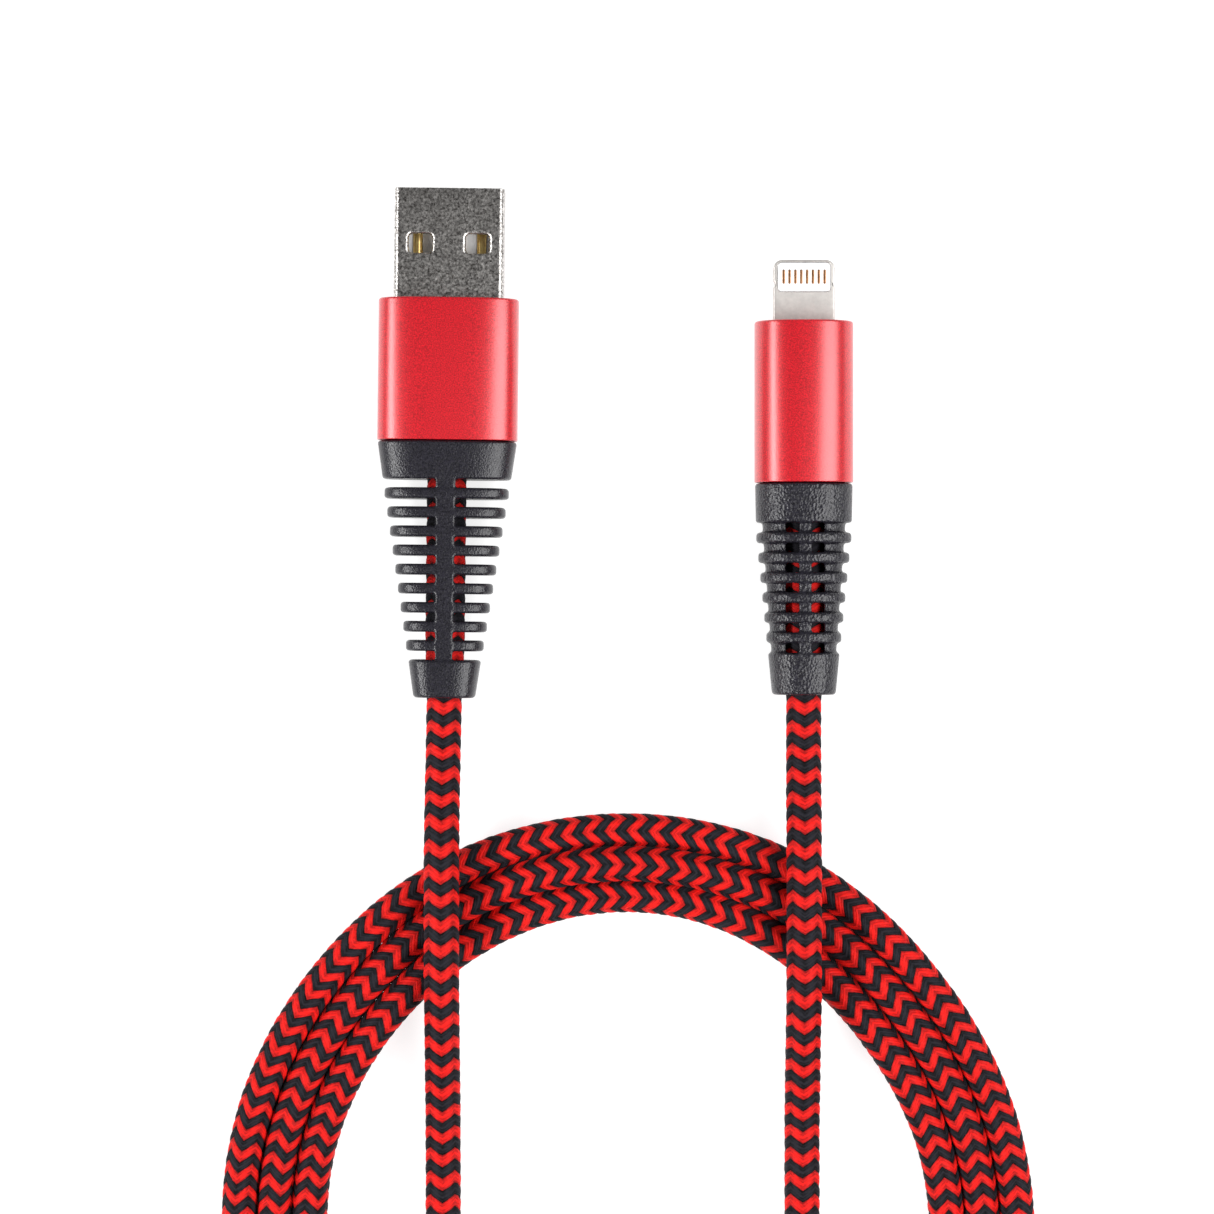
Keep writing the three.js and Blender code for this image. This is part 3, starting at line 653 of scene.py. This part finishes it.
def cord_route():
    """The points that the cord follows from plug to plug, and the coil angle at each."""
    angles = range(COIL_START, COIL_END, COIL_STEP)
    first = inside(USB, INSIDE_USB) + USB_LEAD_ROUTE
    last = PHONE_LEAD_ROUTE + inside(PHONE, INSIDE_PHONE)
    points = first + [coil_point(angle) for angle in angles] + last
    turns = [COIL_START] * len(first) + list(angles) + [COIL_END] * len(last)
    return np.array(points), np.array(turns, float)


def smooth_curve(points, extra, steps=16):
    """A dense smooth curve through the points, how far along it each of its points is, and a second value."""
    gaps = np.linalg.norm(np.diff(points, axis=0), axis=1)
    knots = np.concatenate([[0], np.cumsum(gaps)])
    slopes = np.diff(points, axis=0) / gaps[:, None]
    weight = gaps[1:, None] / (gaps[1:] + gaps[:-1])[:, None]
    middle = slopes[:-1] * weight + slopes[1:] * (1 - weight)
    tangents = np.vstack([slopes[:1], middle, slopes[-1:]])
    curve = []
    for i, gap in enumerate(gaps):
        t = (np.arange(steps) / steps)[:, None]
        curve.append(
            points[i] * (2 * t**3 - 3 * t**2 + 1)
            + points[i + 1] * (3 * t**2 - 2 * t**3)
            + tangents[i] * gap * (t**3 - 2 * t**2 + t)
            + tangents[i + 1] * gap * (t**3 - t**2)
        )
    curve = np.vstack(curve + [points[-1:]])
    along = np.concatenate([[0], np.cumsum(np.linalg.norm(np.diff(curve, axis=0), axis=1))])
    places = knots[:-1, None] + gaps[:, None] * np.arange(steps) / steps
    return curve, along, np.interp(np.append(places.ravel(), knots[-1]), knots, extra)


# ---------------------------------------------------------------- the braid

# Eight columns of floats go round the cord, and each leans the other way from its neighbours. A band of rows
# in one colour and a band in the other make one period, which is longer and leans less on the leads.
COLUMNS = 8
COLUMN_STEPS = 3
BAND_ROWS = 4
AROUND = COLUMNS * COLUMN_STEPS
STEPS = np.arange(AROUND)
FIRST_ROW = 4  # the pattern's row that the braid begins with
END_ROWS = 3  # left off at each end, where a leaning row would run out of cord
LEAD = {"rise": 0.92, "period": 2.64}
COIL = {"rise": 1.28, "period": 2.416}
COIL_ONSET = 30  # degrees over which the lead's braid becomes the coil's
GROOVE_RADIUS = 1.85
FLOAT_HEIGHT = 0.16
FLOAT_SPREAD = (0.8, 1.1)  # each float's share of that height
FLOAT_ACROSS = (0.4, 0.9, 1.0, 0.9)
FLOAT_ALONG = (0.3, 1.0, 0.95)
PLACE_UNEVENNESS = 0.03
RADIUS_UNEVENNESS = 0.008
SEED = 7
# Inside the strain reliefs the braid bunches up: by these shares, and over this far from the cord's end.
BRAID_SWELL = {"usb": 0.12, "phone": 0.25, "reach": (23, 26)}
# The turn of the pattern about the cord at places along the coil: (coil angle, degrees outwards).
BRAID_TURN = (
    (-112, 0),
    (20, 5),
    (90, 40),
    (170, 56),
    (380, 102),
    (450, 135),
    (530, 158),
    (740, 186),
    (810, 184),
    (890, 190),
    (986, 225),
)


def between(lead, coil, coiled):
    return lead + (coil - lead) * coiled


def cord_axes(curve):
    """The directions up from the curve and out to its side, at each of its points."""
    tangents = np.gradient(curve, axis=0)
    tangents /= np.linalg.norm(tangents, axis=1)[:, None]
    up = np.array([0, 0, 1.0]) - tangents * tangents[:, 2:]
    up /= np.linalg.norm(up, axis=1)[:, None]
    return up, np.cross(tangents, up)


def row_places(along, coiled):
    """How far along the cord each row of the braid is, before its steps lean."""
    period = between(LEAD["period"], COIL["period"], coiled)
    steps = np.diff(along) / (period[1:] + period[:-1]) * 2
    periods = np.concatenate([[0], np.cumsum(steps)])
    rows = int(periods[-1] * 2 * BAND_ROWS) - 2 * END_ROWS
    return np.interp((np.arange(rows) + END_ROWS) / (2 * BAND_ROWS), periods, along)


def leaning_places(rows, along, coiled, dice):
    """How far along the cord each step of each row is."""
    share = (STEPS % COLUMN_STEPS) / COLUMN_STEPS
    lean = np.where(STEPS // COLUMN_STEPS % 2 == 0, share, 1 - share)
    rise = between(LEAD["rise"], COIL["rise"], np.interp(rows, along, coiled))
    uneven = dice.normal(0, PLACE_UNEVENNESS, (len(rows), AROUND))
    shift = (lean - 0.5)[None, :] * rise[:, None] + uneven
    return np.clip(rows[:, None] + shift, 0, along[-1])


def braid_radius(rows, length, dice):
    """The cord's radius at each step of each row: ribs where the floats are, and bunched up at its ends."""
    count = len(rows)
    floats = dice.uniform(*FLOAT_SPREAD, (count // BAND_ROWS + 3, COLUMNS))
    row = np.arange(count) + FIRST_ROW
    height = np.array(FLOAT_ACROSS)[row % BAND_ROWS][:, None]
    height = height * np.array(FLOAT_ALONG)[STEPS % COLUMN_STEPS][None, :]
    height = height * floats[(row // BAND_ROWS)[:, None], (STEPS // COLUMN_STEPS)[None, :]]
    radius = GROOVE_RADIUS + FLOAT_HEIGHT * height + dice.normal(0, RADIUS_UNEVENNESS, (count, AROUND))
    bunched = np.where(rows < length / 2, BRAID_SWELL["usb"], BRAID_SWELL["phone"])
    swell = 1 + bunched * np.interp(np.minimum(rows, length - rows), BRAID_SWELL["reach"], (1, 0))
    return radius * swell[:, None]


def braid_faces(rows):
    """The faces of a tube of so many rows, with a fan over each end, whose middles are its last vertices."""
    sides = [(i, (i + 1) % AROUND) for i in range(AROUND)]
    last = (rows - 1) * AROUND
    start_middle = rows * AROUND
    faces = []
    for a in range(0, last, AROUND):
        b = a + AROUND
        faces += [(a + i, a + k, b + k, b + i) for i, k in sides]
    faces += [(k, i, start_middle) for i, k in sides]
    faces += [(last + i, last + k, start_middle + 1) for i, k in sides]
    return faces


def paint_braid(mesh, rows):
    """Gives the bands their two yarns, and each float UVs that run from 0 to 1 across it and along it."""
    mesh.materials.append(RED_YARN)
    mesh.materials.append(BLACK_YARN)
    yarns = np.repeat((np.arange(rows - 1) + FIRST_ROW) // BAND_ROWS % 2, AROUND)
    mesh.polygons.foreach_set("material_index", np.append(yarns, np.zeros(2 * AROUND, int)))
    row = np.repeat(np.arange(rows - 1), AROUND)
    column = np.tile(STEPS, rows - 1)
    corners = np.stack([row, column, row, column + 1, row + 1, column + 1, row + 1, column], axis=1)
    uv = (corners.reshape(-1, 2) / (BAND_ROWS, COLUMN_STEPS)).ravel()
    layer = mesh.uv_layers.new(name="floats")
    layer.data.foreach_set("uv", np.append(uv, np.zeros(len(mesh.loops) * 2 - len(uv))))


def make_cord():
    """The cord as one mesh, in which each float is a raised rib, and its middle line."""
    points, turns = cord_route()
    curve, along, turns = smooth_curve(points, turns)
    up, outward = cord_axes(curve)
    coiled = np.clip((turns - COIL_START) / COIL_ONSET, 0, 1) * np.clip((COIL_END - turns) / COIL_ONSET, 0, 1)
    dice = np.random.default_rng(SEED)
    rows = row_places(along, coiled)
    place = leaning_places(rows, along, coiled, dice)
    radius = braid_radius(rows, along[-1], dice)

    def at(values):
        return np.stack([np.interp(place, along, values[:, i]) for i in range(3)], axis=-1)

    pattern_turn = np.radians(np.interp(np.interp(rows, along, turns), *zip(*BRAID_TURN)))
    angle = (math.tau * STEPS / AROUND - math.tau / COLUMNS)[None, :] + pattern_turn[:, None]
    sideways = np.cos(angle)[..., None] * at(up) + np.sin(angle)[..., None] * at(outward)
    vertices = (at(curve) + radius[..., None] * sideways).reshape(-1, 3) * MM
    caps = np.vstack([vertices[:AROUND].mean(axis=0), vertices[-AROUND:].mean(axis=0)])

    mesh = bpy.data.meshes.new("braided_cord")
    mesh.from_pydata(np.vstack([vertices, caps]), [], braid_faces(len(rows)))
    paint_braid(mesh, len(rows))
    mesh.shade_smooth()
    thing = linked("braided_cord", mesh)
    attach(thing, "root")
    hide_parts("usb_lead", "phone_lead", "cord_coil")
    return thing, at(curve).mean(axis=1) * MM


# ---------------------------------------------------------------- strain reliefs

SPINE_OVERLAP = 0.1  # how far a spine bar reaches into the bore, where the braid hides it
CUT_REACH = 6  # from the axis to beyond any surface


def usb_section(width, thickness):
    return superellipse(width, thickness, USB_ROUNDNESS)


def phone_section(width, thickness):
    return superellipse(width, thickness, PHONE_ROUNDNESS)


def sleeve(section, rear, front, y_rear, y_front, edge, bores):
    """A tapered ring with eased outer edges and a round bore for the cord, with its radius at each end."""
    bore_rear, bore_front = (superellipse(2 * radius, 2 * radius, 2) for radius in bores)
    rings = []
    for y, size, inset in (
        (y_rear, rear, edge),
        (y_rear + edge, rear, 0),
        (y_front - edge, front, 0),
        (y_front, front, edge),
    ):
        rings.append(along_y(section(size[0] - 2 * inset, size[1] - 2 * inset), y))
    return skin(rings + [along_y(bore_front, y_front), along_y(bore_rear, y_rear)], closed=True)


def collars(relief, section, housing):
    """A relief's two collars, and the spigot that goes into the housing.

    The bore narrows to where the cord leaves.
    """
    length = total_length(relief)
    rear = length - relief["collar_length"]
    sides = (housing["width"], housing["thickness"])
    front = [side - 2 * COLLAR_STEP for side in sides]
    spigot = [side - 2 * (HOUSING_WALL + FIT) for side in sides]
    even, tapered = (relief["bore"], relief["bore"]), (BORE_RADIUS, relief["bore"])
    start, stop = rear + SPIGOT["start"], length + SPIGOT["length"]
    return [
        sleeve(section, relief["collar_rear"], front, rear, length, COLLAR_EDGE, even),
        sleeve(section, relief["end_rear"], relief["end_front"], 0, relief["end_length"], END_EDGE, tapered),
        sleeve(section, spigot, spigot, start, stop, SPIGOT["edge"], even),
    ]


def rib_fronts(relief):
    """The place of each rib's front face, from the first rib to the last."""
    first = total_length(relief) - relief["collar_length"] - relief["gap"]
    return [first - i * relief["pitch"] for i in range(relief["ribs"])]


def ribs(relief, section):
    """The rings between the collars."""
    made = []
    bores = (relief["bore"], relief["bore"])
    for i, front in enumerate(rib_fronts(relief)):
        size = mix(relief["first_rib"], relief["last_rib"], i / (relief["ribs"] - 1))
        rear = front - relief["thickness"] - RIB_ALLOWANCE
        made.append(sleeve(section, size, size, rear, front + RIB_ALLOWANCE, relief["rib_edge"], bores))
    return made


def core_ends(relief):
    """Where what joins a relief's ribs begins and ends: in the middles of its collars."""
    return relief["end_length"] / 2, total_length(relief) - relief["collar_length"] / 2


def spine(relief):
    """The bars along the middle of the top and the bottom that join the ribs."""
    rear, front = core_ends(relief)
    bars = []
    for side in (1, -1):
        rings = []
        for y, width, rib in (
            (rear, relief["spine_rear"], relief["last_rib"]),
            (front, relief["spine_front"], relief["first_rib"]),
        ):
            low, high = side * (relief["bore"] - SPINE_OVERLAP), side * (rib[1] / 2 - relief["spine_drop"])
            half = width / 2
            rings.append(along_y([(half, high), (-half, high), (-half, low), (half, low)], y))
        bars.append(skin(rings))
    return bars


def slotted_core(relief):
    """The phone relief's sleeve under its rings, with a slot on each side of the spine between the rings."""
    rear, front = core_ends(relief)
    bores = (relief["bore"], relief["bore"])
    core = sleeve(phone_section, relief["core_rear"], relief["core_front"], rear, front, CORE_EDGE, bores)
    thing = solid("phone_strain_relief_moulded", core)
    fronts = rib_fronts(relief)
    starts = [total_length(relief) - relief["collar_length"]] + [y - relief["thickness"] for y in fronts]
    stops = fronts + [relief["end_length"]]
    slots = []
    for start, stop in zip(starts, stops):
        for side in (1, -1):
            near, far = sorted((side * relief["spine_rear"] / 2, side * relief["slot_end"]))
            slots.append(box((near, stop, -CUT_REACH), (far, start, CUT_REACH)))
    cut(thing, joined(slots))
    return taken_apart(thing)


def usb_strain_relief():
    relief = USB_RELIEF
    parts = collars(relief, usb_section, USB_HOUSING) + ribs(relief, usb_section) + spine(relief)
    thing = solid("usb_strain_relief_moulded", joined(parts))
    moulded(thing, relief["smoothing"])
    return place(thing, USB, SMOOTH_RUBBER, "black_rubber", "usb_strain_relief", sharp=80)


def phone_strain_relief():
    relief = PHONE_RELIEF
    parts = [slotted_core(relief)] + collars(relief, phone_section, PHONE_HOUSING)
    parts += spine(relief) + ribs(relief, phone_section)
    thing = solid("phone_strain_relief_moulded", joined(parts))
    moulded(thing, relief["smoothing"])
    return place(thing, PHONE, GRAINY_RUBBER, "black_rubber", "phone_strain_relief", sharp=80)


# ---------------------------------------------------------------- housings


def housing(name, section, size, opening, front):
    """An aluminium sleeve with eased edges, a front wall and a mouth that the plug's metal goes through."""
    rear = front - size["length"]

    def ring(inset, y):
        return along_y(section(size["width"] - 2 * inset, size["thickness"] - 2 * inset), y)

    mouth = rounded(opening["width"] + 2 * FIT, opening["thickness"] + 2 * FIT, MOUTH_CORNER)
    rings = [ring(HOUSING_WALL, rear)]
    rings += [ring(inset, rear + back) for inset, back in edge_arc(HOUSING_REAR_EDGE)]
    rings += [ring(inset, front - back) for inset, back in reversed(edge_arc(HOUSING_FRONT_EDGE))]
    rings += [along_y(mouth, front), along_y(mouth, front - HOUSING_FRONT_WALL)]
    rings.append(ring(HOUSING_WALL, front - HOUSING_FRONT_WALL))
    return solid(name, skin(rings, closed=True))


def usb_housing():
    thing = housing("usb_housing_sleeve", usb_section, USB_HOUSING, USB_SHELL, USB_FRONT)
    return place(thing, USB, RED_ANODISED, "red_anodised_aluminium", "usb_housing")


def phone_housing():
    thing = housing("phone_housing_sleeve", phone_section, PHONE_HOUSING, TAB, PHONE_FRONT)
    return place(thing, PHONE, RED_ANODISED, "red_anodised_aluminium", "phone_housing")


# ---------------------------------------------------------------- USB metal shell and contacts

SHELL_CORNER_STEPS = 10
SHELL_EDGE_STEPS = 3
LIP_STEPS = 5
CONTACT_ARCH_POINTS = 13


def usb_window(grow):
    """The outline of one latch window, grown by so much."""
    width, length = USB_WINDOW["width"] + 2 * grow, USB_WINDOW["length"] + 2 * grow
    return rounded(width, length, USB_WINDOW["corner"] + grow, SHELL_CORNER_STEPS)


def window_lip(side, x):
    """The rolled edge of one window: it turns in from the shell's face and ends in a short skirt."""
    radius, depth = USB_LIP["radius"], USB_LIP["depth"]
    top = USB_SHELL["thickness"] / 2
    y = USB_TIP - USB_WINDOW["from_tip"]
    profile = edge_arc(radius, LIP_STEPS)
    wall = USB_SHELL["wall"]
    profile += [(0, depth), (wall * USB_LIP["skirt"], depth), (radius, wall)]
    return skin([level(usb_window(grow), side * (top - drop), y, x) for grow, drop in profile], closed=True)


def usb_metal_shell():
    """A stamped tube with two windows through each wide face."""
    width, thickness, wall, edge = (USB_SHELL[k] for k in ("width", "thickness", "wall", "edge"))
    rear = USB_FRONT - USB_SHELL["tail"]

    def ring(inset, y):
        corner = USB_SHELL["corner"] - inset
        return along_y(rounded(width - 2 * inset, thickness - 2 * inset, corner, SHELL_CORNER_STEPS), y)

    rings = [ring(edge, rear), ring(0, rear + edge)]
    rings += [ring(inset, USB_TIP - back) for inset, back in reversed(edge_arc(edge, SHELL_EDGE_STEPS))]
    rings += [ring(wall - edge, USB_TIP), ring(wall, USB_TIP - edge), ring(wall, rear)]
    thing = solid("usb_metal_shell_stamped", skin(rings, closed=True))
    y = USB_TIP - USB_WINDOW["from_tip"]
    loop = usb_window(USB_LIP["radius"])
    windows, lips = [], []
    for x in (USB_WINDOW["offset"], -USB_WINDOW["offset"]):
        windows.append(skin([level(loop, z, y, x) for z in (-thickness, thickness)]))
        lips += [window_lip(1, x), window_lip(-1, x)]
    cut(thing, joined(windows))
    thing = solid("usb_metal_shell_stamped", joined([taken_apart(thing)] + lips))
    return place(thing, USB, NICKEL, "nickel_plated_steel", "usb_metal_shell", sharp=40)


def usb_contact(node):
    """A gold spring with a crowned top, where the CAD has a plain bar."""
    low, high = (USB.inverted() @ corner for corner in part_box(node))
    half, middle = (high.x - low.x) / 2, (high.x + low.x) / 2
    shoulder = USB_CONTACT["shoulder"]
    arch = [(math.cos(t), math.sin(t)) for t in np.linspace(0, math.pi, CONTACT_ARCH_POINTS)]
    rings = []
    for y, drop in [(low.y, 0)] + [(high.y - back, drop) for back, drop in USB_CONTACT["nose"]]:
        rise = high.z - low.z + USB_CONTACT["crown"] - drop
        top = [(middle + half * a, low.z + rise * (shoulder + (1 - shoulder) * b)) for a, b in arch]
        rings.append(along_y([(middle + half, low.z), (middle - half, low.z)] + top, y))
    thing = solid(node + "_spring", skin(rings))
    return place(thing, USB, GOLD, "gold_contact", node, sharp=50)


# ---------------------------------------------------------------- phone tab


def notch_depth(dy):
    reach = TAB_NOTCH["radius"] ** 2 - dy**2
    return max(0, math.sqrt(max(0, reach)) - TAB_NOTCH["radius"] + TAB_NOTCH["depth"])


def with_sides(loop, right, left):
    """A loop that starts at its right side, with points let into its right and its left side."""
    half = len(loop) // 2
    return right + loop[:half] + left + loop[half:]


def tab_loop(inset, z):
    """The tab's outline from above, with a shallow notch in each side for the port's spring."""
    length = TAB["exposed"] + TAB["tail"]
    middle = PHONE_TIP - length / 2
    loop = rounded(TAB["width"] - 2 * inset, length - 2 * inset, TAB["corner"] - inset)
    along = np.linspace(TAB_NOTCH["reach"], -TAB_NOTCH["reach"], TAB_NOTCH["points"])
    notch_y = PHONE_TIP - TAB_NOTCH["from_tip"]
    half = TAB["width"] / 2 - inset
    right = [(half - notch_depth(dy), notch_y + dy, z) for dy in along[::-1]]
    left = [(-half + notch_depth(dy), notch_y + dy, z) for dy in along]
    return with_sides(level(loop, z, middle), right, left)


def tab_window(grow):
    """The tab window's outline, grown by so much, with as many points as the tab's."""
    width = TAB["width"] - 2 * TAB_WINDOW["side_rim"]
    loop = rounded(width + 2 * grow, TAB_WINDOW["length"] + 2 * grow, TAB_WINDOW["corner"] + grow)
    side, count = TAB_WINDOW_SIDE, TAB_NOTCH["points"]
    right = [(width / 2 + grow, y) for y in np.linspace(-side, side, count)]
    left = [(-width / 2 - grow, y) for y in np.linspace(side, -side, count)]
    return with_sides(loop, right, left)


def tab_window_middle():
    return PHONE_TIP - TAB_WINDOW["tip_rim"] - TAB_WINDOW["length"] / 2


def tab_frame():
    half, edge, y = TAB["thickness"] / 2, TAB_WINDOW["edge"], tab_window_middle()
    rings = [tab_loop(inset, half - back) for inset, back in edge_arc(TAB["edge"])]
    rings += [tab_loop(inset, back - half) for inset, back in reversed(edge_arc(TAB["edge"]))]
    for grow, z in ((edge, -half), (0, edge - half), (0, half - edge), (edge, half)):
        rings.append(level(tab_window(grow), z, y))
    thing = solid("phone_tab_frame_polished", skin(rings, closed=True))
    return place(thing, PHONE, STEEL, "satin_steel", "phone_tab_frame", sharp=40)


def tab_insulator():
    half = TAB["thickness"] / 2 + TAB_INSULATOR["proud"]
    edge, play = TAB_WINDOW["edge"], TAB_INSULATOR["play"]
    width = TAB["width"] - 2 * TAB_WINDOW["side_rim"] - play
    length = TAB_WINDOW["length"] - play
    rings = []
    for inset, z in ((edge, -half), (0, edge - half), (0, half - edge), (edge, half)):
        loop = rounded(width - 2 * inset, length - 2 * inset, TAB_INSULATOR["corner"] - inset)
        rings.append(level(loop, z, tab_window_middle()))
    thing = solid("phone_tab_insulator_moulded", skin(rings))
    return place(thing, PHONE, WHITE_PLASTIC, "white_plastic", "phone_tab_insulator", sharp=40)


def tab_contact(node):
    """A pad with round ends, slightly crowned, where the CAD has a plain bar."""
    low, high = (PHONE.inverted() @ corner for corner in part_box(node))
    middle = (low + high) / 2
    up = 1 if middle.z > 0 else -1
    outer = max(abs(low.z), abs(high.z))
    width, length = high.x - low.x, high.y - low.y
    rings = []
    for inset, drop in PAD_PROFILE:
        corner = width / 2 - inset - PAD_END_FLAT / 2
        loop = rounded(width - 2 * inset, length - 2 * inset, corner, PAD_CORNER_STEPS)
        rings.append(level(loop, up * (outer - drop), middle.y, middle.x))
    thing = solid(node + "_pad", skin(rings))
    return place(thing, PHONE, WORN_GOLD, "copper_contact", node, sharp=60)


# ---------------------------------------------------------------- CAD nodes that stay


def dress(node, material, edge=0.0):
    """Gives a CAD node its material, and eases its edges where that shows."""
    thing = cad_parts[node]
    thing.material_slots[0].material = material
    if edge:
        bevel = thing.modifiers.new("eased edges", "BEVEL")
        bevel.width = edge * MM
        bevel.segments = 3
        bevel.limit_method = "ANGLE"


def dress_kept_nodes():
    dress("usb_insulator", WHITE_PLASTIC, 0.04)
    dress("usb_inner_mould", WHITE_PLASTIC)
    dress("phone_inner_mould", WHITE_PLASTIC)
    dress("phone_circuit_board", BOARD)
    dress("phone_controller_chip", CHIP, 0.05)
    for colour, look in WIRES.items():
        dress("usb_wire_" + colour, look)
        dress("phone_wire_" + colour, look)


# ---------------------------------------------------------------- floor and lights

FLOOR_REACH = 3
FLOOR_ALBEDO = 0.35
FLOOR_GLOW = 0.8
WORLD_LIGHT = 0.11
LIGHT_DISTANCE = 0.6
LIGHT_LENGTH = 0.8
LIGHT_SHIFT = -0.15  # how far the lights stand towards the camera's lower side, as a share of their distance
LIT_POINT = Vector((0, -0.02, 0))


def make_floor():
    corners = [(x * FLOOR_REACH, y * FLOOR_REACH, 0) for x, y in ((-1, -1), (1, -1), (1, 1), (-1, 1))]
    mesh = bpy.data.meshes.new("floor")
    mesh.from_pydata(corners, [], [(0, 1, 2, 3)])
    floor = linked("floor", mesh)
    look = Look("white_table", (FLOOR_ALBEDO,) * 3, 0.8)
    look.shader.inputs["Emission Color"].default_value = (1, 1, 1, 1)
    look.shader.inputs["Emission Strength"].default_value = FLOOR_GLOW
    floor.data.materials.append(look.material)


def softbox(name, side, elevation, width, power):
    """A soft area light on one side of the object, long in Y, that faces the plugs."""
    data = bpy.data.lights.new(name, "AREA")
    data.shape = "RECTANGLE"
    data.size, data.size_y = LIGHT_LENGTH, width
    data.energy = power
    light = bpy.data.objects.new(name, data)
    rise = math.radians(elevation)
    direction = Vector((side * math.cos(rise), LIGHT_SHIFT, math.sin(rise)))
    light.location = LIT_POINT + direction * LIGHT_DISTANCE
    light.rotation_euler = (LIT_POINT - light.location).to_track_quat("-Z", "Y").to_euler()
    bpy.context.scene.collection.objects.link(light)


def make_light():
    softbox("left_softbox", side=-1, elevation=37, width=0.16, power=4.0)
    softbox("right_softbox", side=1, elevation=50, width=0.40, power=4.8)
    world = bpy.data.worlds.new("studio")
    world.use_nodes = True
    background = world.node_tree.nodes["Background"]
    background.inputs["Color"].default_value = (1, 1, 1, 1)
    background.inputs["Strength"].default_value = WORLD_LIGHT
    bpy.context.scene.world = world
    bpy.context.scene.view_settings.view_transform = "Standard"


# ---------------------------------------------------------------- the whole scene

make_camera()
cord, cord_path = make_cord()
usb_strain_relief()
phone_relief = phone_strain_relief()
usb_housing()
phone_sleeve = phone_housing()
usb_metal_shell()
for node in ("1_power", "2_data_minus", "3_data_plus", "4_ground"):
    usb_contact("usb_contact_" + node)
phone_tab = tab_frame()
phone_tongue = tab_insulator()
tab_contacts = [tab_contact(f"phone_contact_{side}_{i + 1}") for side in ("top", "bottom") for i in range(8)]
dress_kept_nodes()
make_floor()
make_light()

with_pieces = [phone_relief, phone_sleeve, phone_tab, phone_tongue]
with_pieces += tab_contacts
